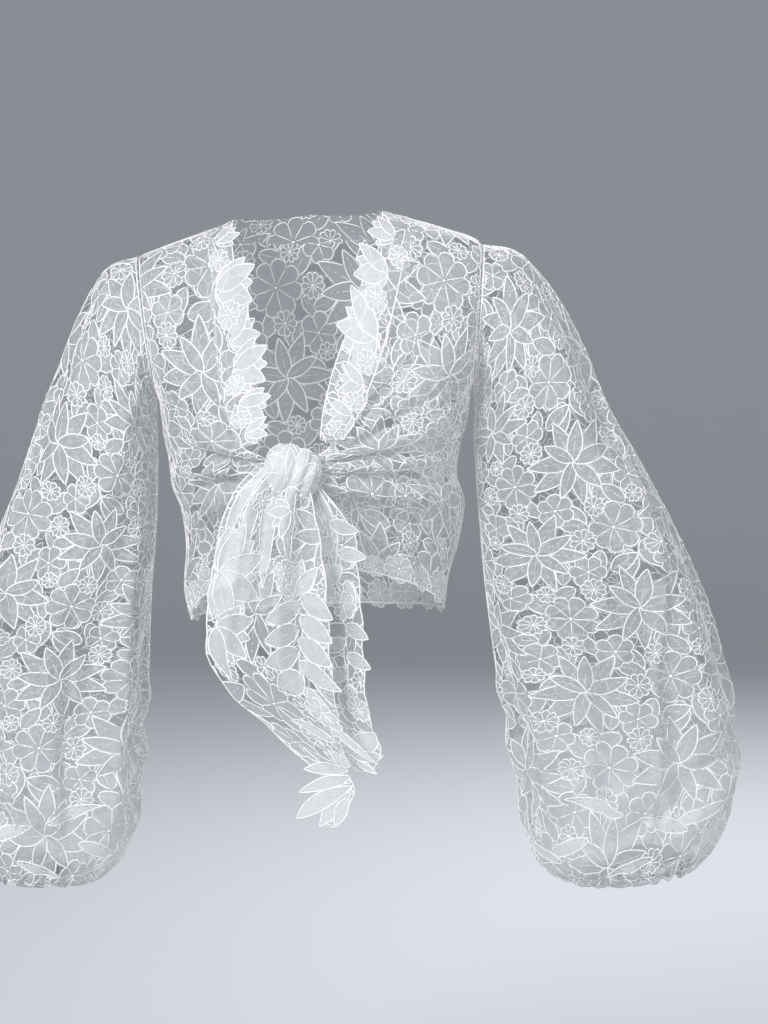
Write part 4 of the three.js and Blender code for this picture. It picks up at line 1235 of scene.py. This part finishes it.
WOVEN = {"roughness": 0.42, "sheen": 0.4, "pitch_mm": 1.0, "bump": 0.5}
STITCHED = {"roughness": 0.35, "sheen": 0.4, "pitch_mm": 0.8, "bump": 0.7}
organza = cloth_material("sheer_organza", "#bfc2c6", "#b1b4b9", alpha=0.45, **WOVEN)
dense_organza = cloth_material("doubled_organza", "#d8dadd", "#cccfd2", alpha=0.66, **WOVEN)
bunched_organza = cloth_material("bunched_organza", "#d9dbdd", "#cbced1", alpha=0.86, **WOVEN)
satin_cord = cloth_material("rayon_satin_stitch", "#ffffff", "#fcfcfa", alpha=1.0, **STITCHED)
print("materials:", organza.name, dense_organza.name, satin_cord.name)

# %% [markdown]
# ## From a flat piece to an object
#
# One function lays a cut piece on its surface and makes two objects of it: the organza, as a
# single thin layer, and the cords that are stitched to it. The flat place of every point is
# kept as a map, so that the weave follows the cloth.

# %% Make the organza and its cords
# A leaf of the border may stand this far past the outline
BORDER_MARGIN = 60


def mesh_object(name, vertices, faces, uv, materials, slots=None):
    mesh = bpy.data.meshes.new(name)
    corners = faces.shape[1]
    mesh.vertices.add(len(vertices))
    mesh.vertices.foreach_set("co", (vertices * MM).astype(np.float32).ravel())
    mesh.loops.add(faces.size)
    mesh.loops.foreach_set("vertex_index", faces.astype(np.int32).ravel())
    mesh.polygons.add(len(faces))
    mesh.polygons.foreach_set("loop_start", np.arange(0, faces.size, corners, dtype=np.int32))
    mesh.update(calc_edges=True)
    layer = mesh.uv_layers.new(name="flat")
    layer.data.foreach_set("uv", uv[faces.ravel()].astype(np.float32).ravel())
    for material in materials:
        mesh.materials.append(material)
    if slots is not None:
        mesh.polygons.foreach_set("material_index", slots.astype(np.int32))
    mesh.validate()
    mesh.polygons.foreach_set("use_smooth", np.ones(len(mesh.polygons), bool))
    piece = bpy.data.objects.new(name, mesh)
    bpy.context.collection.objects.link(piece)
    return piece


def faced(vertices, faces, outward):
    """Turn the faces, if need be, so that they look the way the wearer doesn't."""
    corner = vertices[faces]
    normal = np.cross(corner[:, 1] - corner[:, 0], corner[:, 2] - corner[:, 0])
    away = outward(corner.mean(axis=1))
    return faces if (normal * away).sum() > 0 else faces[:, ::-1]


def lace_piece(
    name, nodes, place, outline, motifs, outward,
    solid=False, cloths=(organza, dense_organza), border_margin=BORDER_MARGIN, grid=GRID,
):
    motifs = [m for m in motifs if not m.border] + [m for m in motifs if m.border]
    grid_s, grid_t, field, dense = cut_grid(outline, motifs, border_margin, grid)
    if solid:
        field = np.maximum(field, inside_outline(outline, grid_s, grid_t))
    s, t, faces, thick = clip_triangles(grid_s, grid_t, field, dense)
    vertices = place(s, t)
    faces = faced(vertices, faces, outward)
    cloth = mesh_object(name, vertices, faces, flat_line(s, t) / MAP_UNIT, cloths, thick)
    runs = visible_runs(outline, motifs, border_margin)
    cord_vertices, cord_faces, cord_uv = cord_tubes(runs, place)
    cords = mesh_object(name + "_cords", cord_vertices, cord_faces, cord_uv, [satin_cord])
    for piece in (cloth, cords):
        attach(piece, "root")
    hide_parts(*nodes)
    print(name, "cloth", len(faces), "cord", 2 * len(cord_faces), "triangles")


# %% [markdown]
# ## The two fronts
#
# Each front is cut with a curved inner edge, where the band is sewn on, and a lace edge at the
# hem. Small flowers stand along the hem, as they do on the border of such lace.

# %% Cut and lay the fronts
CHEST_MIDDLE = 20
HEM_TURN = 8.0
HEM_CORD = 1.3
HEM_REPEAT = 216
HEM_ROOM = 6
HEM_TWIST = 20
HEM_POINTS = 40
EDGE_POINTS = 40
SEAM_POINTS = 60
SHOULDER_POINTS = 16
SHOULDER_CORNERS = 4
HEM_CORNERS = 6
SEAM_ALLOWANCE = 1.4


def shares(count):
    return np.linspace(0, 1, count, endpoint=False)


def away_from_wearer(points):
    """From an upright line through the middle of the chest, outwards."""
    return (points + [0, CHEST_MIDDLE, 0]) * [1, 1, 0]


hem_motifs = rows_of("step rise radius petals", [
    [16, 17, 14, 8],
    [46, 19, 17, 8],
    [78, 16, 13, 9],
    [106, 20, 17, 8],
    [138, 17, 14, 9],
    [168, 19, 17, 8],
    [200, 16, 13, 9],
])


def hem_border(start, end, t):
    """Small flowers along a hem, from one side of the piece to the other."""
    found = []
    for step, rise, radius, petals in each_row(hem_motifs):
        for s in np.arange(start + step, end - HEM_ROOM, HEM_REPEAT):
            found.append(Flower(s, t - rise, radius, petals, HEM_TWIST + step, border=True))
    return found


def hem_line(start, end, t):
    """The stitched cord along a hem, with the cloth past it turned up."""
    return Stitching(flat_line(np.linspace(start + 1, end - 1, HEM_POINTS), t - HEM_TURN), HEM_CORD)


def seams_of_front(side):
    """The shoulder seam, the armhole with the side seam, and the seam to the band."""
    v = np.linspace(0, 1, SEAM_POINTS)
    inner, outer = front_edges(side)(v)
    t = v * FRONT_LENGTH
    shoulder = flat_line(np.linspace(inner[0], outer[0], SHOULDER_POINTS), SEAM_ALLOWANCE)
    at_side = flat_line(outer - SEAM_ALLOWANCE, t)[:-1]
    at_band = flat_line(inner + SEAM_ALLOWANCE, t)[:-1]
    return [Stitching(line) for line in (shoulder, at_side, at_band)]


def front_outline(side):
    edges = front_edges(side)
    v = shares(EDGE_POINTS)
    t = v * FRONT_LENGTH
    inner, outer = edges(v)
    start, end = (float(edge[0]) for edge in edges(np.ones(1)))
    top = flat_line(inner[0] + shares(SHOULDER_CORNERS) * (outer[0] - inner[0]), SEAM_INSET)
    side_seam = flat_line(outer - SEAM_INSET, t)
    hem = flat_line(end - shares(HEM_CORNERS) * (end - start), FRONT_LENGTH - HEM_TURN)
    edge = flat_line(inner, t)[::-1]
    return np.concatenate([top, side_seam[1:], hem, edge[:-1]]), start, end


for side in HAND:
    name = f"front_{side}"
    outline, start, end = front_outline(side)
    motifs = repeat_of_lace(outline, name)
    motifs += hem_border(start, end, FRONT_LENGTH)
    motifs.append(hem_line(start, end, FRONT_LENGTH))
    motifs += seams_of_front(side)
    lace_piece(
        f"lace_{name}", [name], front_surface(side), outline, motifs,
        away_from_wearer,
    )

# %% [markdown]
# ## The back
#
# The back is one piece, cut with a shallow neckline. It has the same repeat of lace, and
# follows the same side seams as the fronts.

# %% Cut and lay the back
BACK_SHOULDER_CORNERS = 3
BACK_HEM_CORNERS = 12
BACK_SHOULDER_POINTS = 12
NECK_POINTS = 24
HEM_SHIFT = 8


def arc(half_width, dip, top, turn):
    """A dip from one side of the middle to the other, for shares of the way."""
    return flat_line(-half_width * np.cos(np.pi * turn), top + dip * np.sin(np.pi * turn))


def back_outline():
    v = shares(EDGE_POINTS)
    t = v * BACK_LENGTH
    left, right_half = (back_half(v, side) for side in HAND)
    low_left, low_right = (float(back_half(np.ones(1), side)[0]) for side in HAND)
    seam, dip = NECK_SEAM
    step = shares(BACK_SHOULDER_CORNERS)
    across_hem = shares(BACK_HEM_CORNERS) * (low_left + low_right)
    parts = [
        flat_line(seam + step * (left[0] - seam), SEAM_INSET),
        flat_line(left, t)[1:],
        flat_line(low_left - across_hem, BACK_LENGTH - HEM_TURN),
        flat_line(-right_half, t)[::-1][:-1],
        flat_line(-right_half[0] + step * (right_half[0] - seam), SEAM_INSET),
        arc(seam, dip, SEAM_INSET, shares(NECK_POINTS)),
    ]
    return np.concatenate(parts), -low_right, low_left


def seams_of_back():
    """The two shoulder seams, and each armhole with its side seam."""
    v = np.linspace(0, 1, SEAM_POINTS)[:-1]
    found = []
    for side, hand in HAND.items():
        half = back_half(v, side)
        s = np.linspace(NECK_SEAM[0], half[0], BACK_SHOULDER_POINTS)
        found.append(Stitching(flat_line(hand * s, SEAM_ALLOWANCE)))
        found.append(Stitching(flat_line(hand * (half - SEAM_ALLOWANCE), v * BACK_LENGTH)))
    return found


outline, start, end = back_outline()
motifs = repeat_of_lace(outline, "back")
motifs += hem_border(start + HEM_SHIFT, end, BACK_LENGTH)
motifs.append(hem_line(start, end, BACK_LENGTH))
motifs += seams_of_back()
lace_piece(
    "lace_back", ["back"], back_place, outline, motifs, away_from_wearer,
)


# %% [markdown]
# ## The bands
#
# The border is worked closely, so the organza has no gaps there. Fans of pointed leaves stand
# past the free edge, and rosettes fill in between them.

# %% Cut and lay the bands
BAND_POINTS = 30
BAND_LAP = 4
BAND_ROLL = 1.5
NECK_BAND_LAP = 3
NECK_BAND_TOP = 0.3
NECK_BAND_LIFT = 1.0
BORDER_TWIST = 10

band_fans = {
    "left": rows_of("s t radius leaves first last", [
        [84, 34, 26, 4, 150, 230],
        [76, 66, 34, 4, 140, 215],
        [63, 116, 40, 6, 110, 235],
        [48, 158, 26, 4, 120, 225],
        [36, 192, 28, 4, 110, 215],
    ]),
    "right": rows_of("s t radius leaves first last", [
        [92, 30, 24, 4, 150, 225],
        [92, 72, 40, 5, 130, 210],
        [80, 116, 30, 4, 150, 230],
        [76, 140, 36, 5, 120, 225],
        [72, 176, 32, 5, 115, 200],
        [66, 210, 24, 4, 120, 210],
    ]),
}
band_rosettes = {
    "left": rows_of("s t radius petals", [
        [88, 52, 10, 9],
        [64, 88, 11, 9],
        [54, 138, 11, 9],
        [40, 176, 10, 8],
        [22, 210, 10, 8],
    ]),
    "right": rows_of("s t radius petals", [
        [90, 50, 10, 9],
        [80, 96, 11, 9],
        [76, 156, 10, 9],
        [70, 194, 10, 8],
    ]),
}


def band_outline(side):
    v = np.linspace(0, BAND_END, BAND_POINTS)
    panel = row_at(front_rows, v)[INNER[side]]
    free = row_at(band_rows, v)[FREE[side]]
    t = np.maximum(v * FRONT_LENGTH, SEAM_INSET)
    return np.concatenate([flat_line(panel + BAND_LAP, t), flat_line(free + BAND_ROLL, t)[::-1]])


for side in HAND:
    outline = band_outline(side)
    motifs = repeat_of_lace(outline, "band")
    for row in each_row(band_fans[side]):
        motifs += fan_of(*row)
    motifs += [Flower(*row, BORDER_TWIST, border=True) for row in each_row(band_rosettes[side])]
    motifs.insert(0, Stitching(outline[BAND_POINTS:]))
    lace_piece(
        f"lace_band_{side}", [f"band_{side}"], band_surface(side), outline, motifs,
        away_from_wearer, solid=True,
    )


def neck_outline():
    turn = np.linspace(0, 1, NECK_POINTS)
    seam, dip = NECK_SEAM
    sewn = arc(seam + NECK_BAND_LAP, dip + NECK_BAND_LAP, NECK_BAND_TOP, turn)
    return np.concatenate([arc(*NECK_EDGE, NECK_BAND_TOP, turn), sewn[::-1]])


outline = neck_outline()
motifs = repeat_of_lace(outline, "band")
lace_piece(
    "lace_band_back", ["band_back"], lambda s, t: back_place(s, t, NECK_BAND_LIFT), outline, motifs,
    away_from_wearer, solid=True,
)


# %% [markdown]
# ## The sleeves
#
# Each sleeve is one piece, sewn to a tube under the arm. The lace runs on round the outer line
# without a break.

# %% Cut and lay the sleeves
SLEEVE_POINTS = 60
UNDERARM_POINTS = 90
WRIST_POINTS = 240
RINGS_TO_WRIST = 13
ARM_MIDDLE = 10


def sleeve_outline(side):
    t = np.linspace(0, SLEEVE_LENGTH, SLEEVE_POINTS)
    half = sleeve_cut(side, t) / 2 - SEAM_INSET
    return np.concatenate([flat_line(half, t), flat_line(-half, t)[::-1]])


def seams_of_sleeve(side):
    """The armhole, the two sides of the underarm seam, and the edge at the wrist."""
    t = np.linspace(0, SLEEVE_LENGTH, UNDERARM_POINTS)
    half = sleeve_cut(side, t) / 2 - SEAM_ALLOWANCE
    armhole = np.linspace(-half[0], half[0], SLEEVE_POINTS)
    wrist = np.linspace(-half[-1], half[-1], WRIST_POINTS)
    lines = [
        flat_line(armhole, SEAM_ALLOWANCE),
        flat_line(half, t),
        flat_line(-half, t),
        flat_line(wrist, SLEEVE_LENGTH - SEAM_ALLOWANCE),
    ]
    return [Stitching(line) for line in lines]


# The cloth lies double in short slanting tucks where it bunches over the wrist
BUNCHES = 15
BUNCH_STEP = 36
BUNCH_LENGTH = 58
BUNCH_HALF = 5.5
BUNCH_SLANT = 15
BUNCH_FIRST = 596
BUNCH_ROWS = 3
BUNCH_DROP = 19


def wrist_bunches():
    tucks = []
    for k in range(BUNCHES):
        s = (k - BUNCHES / 2) * BUNCH_STEP
        t = BUNCH_FIRST + BUNCH_DROP * (k % BUNCH_ROWS)
        slant = BUNCH_SLANT if k % 2 else -BUNCH_SLANT
        tucks.append(Leaf(s, t, slant, BUNCH_LENGTH, BUNCH_HALF, True))
    return tucks


for side, hand in HAND.items():
    name = f"sleeve_{side}"
    outline = sleeve_outline(side)
    motifs = repeat_of_lace(outline, name)
    rings = sleeve_rings[side]

    def away_from_arm(points):
        down, across = -rings["zOut"], (rings["xOut"] + rings["xIn"]) / 2
        middle = np.interp(-points[:, 2], down[:RINGS_TO_WRIST], across[:RINGS_TO_WRIST])
        return point(points[:, 0] - hand * middle, points[:, 1] + ARM_MIDDLE, 0)

    motifs += wrist_bunches() + seams_of_sleeve(side)
    lace_piece(
        f"lace_{name}", [f"{name}_front", f"{name}_back"], sleeve_surface(side), outline, motifs,
        away_from_arm,
    )


# %% [markdown]
# ## The wrist casings
#
# The sleeve's edge is drawn up by a narrow elastic casing. It is a strip folded over the
# elastic, so its section is a flat loop, open at the lower edge: up the outside, over the top and
# down the inside. The elastic gathers it into small ripples.

# %% Make the casings
CASING_RADIUS = 28.5
CASING_HEIGHT = 12
CASING_THICK = 1.5
CASING_RIPPLES = 46
CASING_RIPPLE = 0.8
CASING_FULLNESS = 1.3
CASING_OPENING = 0.25
CASING_AROUND = 368
CASING_SECTION = 16
CASING_WAVES = 3
CASING_WAVE = 0.05


def casing_place(side):
    last = {name: column[-1] for name, column in sleeve_rings[side].items()}
    hand = HAND[side]
    middle = np.array([hand * (last["xOut"] + last["xIn"]) / 2, last["y"], last["zOut"]])

    def place(s, t):
        """s runs round the wrist as a share, and t round the folded section as a share."""
        angle = 2 * np.pi * s
        turn = CASING_OPENING / 2 + (2 * np.pi - CASING_OPENING) * t - np.pi / 2
        ripple = CASING_RIPPLE * np.cos(CASING_RIPPLES * angle)
        radius = CASING_RADIUS - CASING_THICK / 2 * (1 - np.cos(turn)) + ripple
        height = np.sin(turn) * CASING_HEIGHT / 2 * (1 + CASING_WAVE * np.cos(CASING_WAVES * angle))
        return middle + point(radius * np.cos(angle), radius * np.sin(angle), height)

    return place


for side in HAND:
    around = np.repeat(np.arange(CASING_AROUND), CASING_SECTION)
    section = np.tile(np.arange(CASING_SECTION), CASING_AROUND)
    share_around, share_up = around / CASING_AROUND, section / (CASING_SECTION - 1)
    vertices = casing_place(side)(share_around, share_up)
    here = np.arange(CASING_AROUND * CASING_SECTION).reshape(CASING_AROUND, CASING_SECTION)
    beside = np.roll(here, -1, axis=0)
    corners = [here[:, :-1], beside[:, :-1], beside[:, 1:], here[:, 1:]]
    faces = np.stack([corner.ravel() for corner in corners], axis=1)
    flat_width = 2 * math.pi * CASING_RADIUS * CASING_FULLNESS
    uv = flat_line(share_around * flat_width, share_up * 2 * CASING_HEIGHT) / MAP_UNIT
    casing = mesh_object(f"wrist_casing_{side}", vertices, faces, uv, [bunched_organza])
    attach(casing, "root")
    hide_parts(f"cuff_{side}")

# %% [markdown]
# ## The knot
#
# The two fronts are tied over each other. What shows is one end passing over the knot, so its
# cloth goes once round a sloping axis. It is gathered along the axis, and the gathers run over
# the top and down towards the hanging end.

# %% Tie the knot
KNOT_MIDDLE = np.array([-23.0, -141.0, -208.0])
KNOT_AXIS = np.array([0.93, 0.0, -0.37])
KNOT_OVER = np.array([0.37, 0.0, 0.93])
KNOT_HALF = (29.5, 25.0, 20.5)
KNOT_CUT = (84, 148)
KNOT_FALL = 0.34
KNOT_ROUND = (2.6, 2.2)
KNOT_MOUTH = 0.985
KNOT_ROOM = 12
KNOT_SUNK = 1.2
KNOT_INSET = 0.5
KNOT_GRID = 1.6

knot_folds = folds_of([
    [8, 0, 12, 148, 4.4, 1.2],
    [18, 0, 22, 148, 3.4, -1.6],
    [30, 0, 33, 148, 5.6, 2.0],
    [43, 0, 44, 148, 3.0, -2.0],
    [54, 0, 54, 148, 5.0, 1.8],
    [64, 0, 63, 148, 3.0, -1.6],
    [74, 0, 73, 148, 4.2, 1.4],
    [36, 20, 30, 80, 2.4, -1.2],
])


def knot_bare(s, t):
    along = np.clip(2 * s / KNOT_CUT[0] - 1, -1, 1)
    angle = 2 * np.pi * t / KNOT_CUT[1]
    plump = (1 - np.abs(along) ** KNOT_ROUND[0] * KNOT_MOUTH) ** (1 / KNOT_ROUND[1])
    fall = 1 + KNOT_FALL * np.clip(-np.cos(angle), 0, 1)
    over = KNOT_HALF[1] * np.cos(angle) * plump * fall
    front = KNOT_HALF[2] * np.sin(angle) * plump
    across = np.multiply.outer(KNOT_HALF[0] * along, KNOT_AXIS)
    return KNOT_MIDDLE + across + np.multiply.outer(over, KNOT_OVER) + point(0, -front, 0)


def knot_place(s, t):
    fade = ramp(np.minimum(s, KNOT_CUT[0] - s), KNOT_ROOM)
    rise = fade * fold_height(knot_folds, s, t) - KNOT_SUNK
    bare = knot_bare(s, t)
    return bare + unit(bare - KNOT_MIDDLE) * rise[:, None]


width, length = KNOT_CUT
low, high = KNOT_INSET, width - KNOT_INSET
outline = np.array([[low, 0.0], [high, 0.0], [high, length], [low, length]])
motifs = repeat_of_lace(outline, "knot")
lace_piece(
    "knot_cloth", ["knot"], knot_place, outline, motifs,
    lambda points: points - KNOT_MIDDLE,
    solid=True, cloths=(bunched_organza, bunched_organza), grid=KNOT_GRID,
)

# %% [markdown]
# ## The hanging ends
#
# The longer end, the wearer's right, shows a border of big leaf sprays down its middle and a
# tip of five leaves. The plain part behind it is edged with a stitched cord.

# %% Cut and lay the hanging ends
tail_fronds = {
    "right": rows_of("s t turn length pairs leaf", [
        [110, 124, 92, 84, 4, 44],
        [98, 240, 134, 44, 1, 36],
    ]),
    "left": rows_of("s t turn length pairs leaf", [
        [50, 44, 74, 62, 2, 36],
        [62, 150, 92, 58, 2, 32],
    ]),
}
tail_fans = {
    "right": rows_of("s t radius leaves first last", [
        [8, 110, 56, 9, -88, 92],
        [10, 164, 46, 6, -40, 84],
        [104, 124, 38, 4, -150, -50],
        [84, 40, 30, 5, 70, 200],
    ]),
    "left": rows_of("s t radius leaves first last", [
        [24, 30, 30, 5, 20, 150],
    ]),
}
tail_flowers = {
    "right": rows_of("s t radius petals", [
        [87, 104, 14, 10],
        [102, 230, 15, 9],
        [44, 34, 13, 9],
    ]),
    "left": rows_of("s t radius petals", [
        [62, 130, 15, 8],
        [60, 232, 13, 9],
        [20, 236, 13, 8],
    ]),
}
tip_leaves = {
    "right": rows_of("s0 t0 s1 t1 half", [
        [54, 294, 4, 302, 8],
        [54, 332, 8, 372, 7],
        [55, 306, 0, 332, 9],
        [55, 322, -14, 364, 9],
        [50, 340, 26, 372, 6],
    ]),
    "left": rows_of("s0 t0 s1 t1 half", [
        [6, 282, 60, 256, 9],
        [8, 292, 22, 306, 5],
        [8, 286, 42, 283, 7],
    ]),
}
# Where the gathered cloth lies double as it comes out of the knot
knot_pleats = {
    "right": rows_of("s0 t0 s1 t1 half", [
        [20, -6, 8, 84, 8],
        [38, -8, 30, 108, 9],
        [56, -8, 62, 122, 10],
        [74, -6, 92, 96, 8],
    ]),
    "left": rows_of("s0 t0 s1 t1 half", [
        [34, -6, 30, 74, 7],
        [50, -6, 54, 92, 7],
    ]),
}
TIP_START = 0.76
TIP_CLEAR = 34
TIP_RATE = 10
TIP_MOST = 0.7
TAIL_POINTS = 40
TAIL_MARGIN = 44
SCALLOP = 5
SCALLOP_STEP = 43
SCALLOP_RATE = 6
SCALLOP_SHARE = {"right": 0.6, "left": 0.4}


def leaf_between(s0, t0, s1, t1, half):
    turn = math.degrees(math.atan2(t1 - t0, s1 - s0))
    return Leaf(s0, t0, turn, math.hypot(s1 - s0, t1 - t0), half, True)


def tail_outline(side):
    length = TAIL_LENGTH[side]
    v = np.linspace(0, 1, TAIL_POINTS)
    t = v * length
    cut = row_at(tail_rows[side], v)["cut"]
    wave = SCALLOP * np.abs(np.sin(np.pi * t / SCALLOP_STEP)) * np.minimum(1, v * SCALLOP_RATE)
    clear = np.clip((v - TIP_START) * TIP_RATE, 0, 1) * TIP_CLEAR
    bare_tip = np.minimum(clear, cut * TIP_MOST) if side == "right" else 0
    right_edge = flat_line(cut + wave * SCALLOP_SHARE["right"], t)
    left_edge = flat_line(bare_tip - wave * SCALLOP_SHARE["left"], t)[::-1]
    return np.concatenate([right_edge, left_edge])


for side in ("right", "left"):
    name = f"tail_{side}"
    outline = tail_outline(side)
    motifs = repeat_of_lace(outline, name)
    motifs += [leaf_between(*row) for row in each_row(knot_pleats[side])]
    for row in each_row(tail_fans[side]):
        motifs += fan_of(*row)
    for row in each_row(tail_fronds[side]):
        motifs += frond_of(*row)
    motifs += [Flower(*row, BORDER_TWIST, border=True) for row in each_row(tail_flowers[side])]
    motifs += [leaf_between(*row) for row in each_row(tip_leaves[side])]
    motifs.insert(0, Stitching(np.vstack([outline, outline[:1]])))
    lace_piece(
        f"lace_{name}", [name], tail_surface(side), outline, motifs,
        lambda points: point(0, -1, 0), border_margin=TAIL_MARGIN,
    )

# %% [markdown]
# ## Floor and light
#
# A round of pale grey paper lies on the floor far below and curves up on every side, beyond the
# lamps, so there is no edge between floor and wall from any angle. Three large soft lamps stand
# as in a small studio: the key in front on the left, a weaker fill on the right, and one behind,
# which lights the sheer edges. The rest of the light comes down through the open top.

# %% Set the studio
FLOOR_LEVEL = -1.15
PAPER_FLAT = 4.4
PAPER_CURVE = 1.8
PAPER_RUN = 9.2
PAPER_AROUND = 72
PAPER_STEPS = 60
SURROUND_STRENGTH = 0.54
LAMP_TARGET = Vector((0, 0, -0.3))


def plain_material(name, colour, roughness):
    material = bpy.data.materials.new(name)
    material.use_nodes = True
    tree = material.node_tree
    tree.nodes.clear()
    shader = add_node(tree, "ShaderNodeBsdfPrincipled", None, None, Roughness=roughness)
    shader.inputs["Base Color"].default_value = linear(colour)
    add_node(tree, "ShaderNodeOutputMaterial", None, {"Surface": shader.outputs["BSDF"]})
    return material


def paper_point(run):
    """How far out and how high the paper is, a run's length from its middle."""
    turn = min(max((run - PAPER_FLAT) / PAPER_CURVE, 0), math.pi / 2)
    out = min(run, PAPER_FLAT) + PAPER_CURVE * math.sin(turn)
    rise = max(run - PAPER_FLAT - PAPER_CURVE * math.pi / 2, 0)
    return out, FLOOR_LEVEL + PAPER_CURVE * (1 - math.cos(turn)) + rise


bpy.ops.mesh.primitive_grid_add(x_subdivisions=PAPER_AROUND, y_subdivisions=PAPER_STEPS, size=1)
paper = bpy.context.object
paper.name = "studio_paper"
for vertex in paper.data.vertices:
    out, height = paper_point((vertex.co.y + 0.5) * PAPER_RUN)
    turn = 2 * math.pi * vertex.co.x
    vertex.co = (out * math.sin(turn), out * math.cos(turn), height)
bpy.ops.object.shade_smooth()
paper.data.materials.append(plain_material("pale_grey_paper", "#bcbfc5", 0.95))

world = bpy.data.worlds.new("studio_surround")
world.use_nodes = True
surround = world.node_tree.nodes["Background"]
surround.inputs["Color"].default_value = linear("#e6e7e9")
surround.inputs["Strength"].default_value = SURROUND_STRENGTH
bpy.context.scene.world = world
bpy.context.scene.view_settings.view_transform = "Standard"


def soft_lamp(name, place, size, power):
    data = bpy.data.lights.new(name, "AREA")
    data.shape = "SQUARE"
    data.size = size
    data.energy = power
    lamp = bpy.data.objects.new(name, data)
    bpy.context.collection.objects.link(lamp)
    lamp.location = place
    way = LAMP_TARGET - Vector(place)
    lamp.rotation_euler = way.to_track_quat("-Z", "Y").to_euler()


soft_lamp("key_lamp", place=(-1.5, -2.3, 1.2), size=1.0, power=98)
soft_lamp("fill_lamp", place=(2.2, -2.0, 0.4), size=1.6, power=34)
soft_lamp("back_lamp", place=(0.9, 2.6, 1.0), size=1.4, power=70)
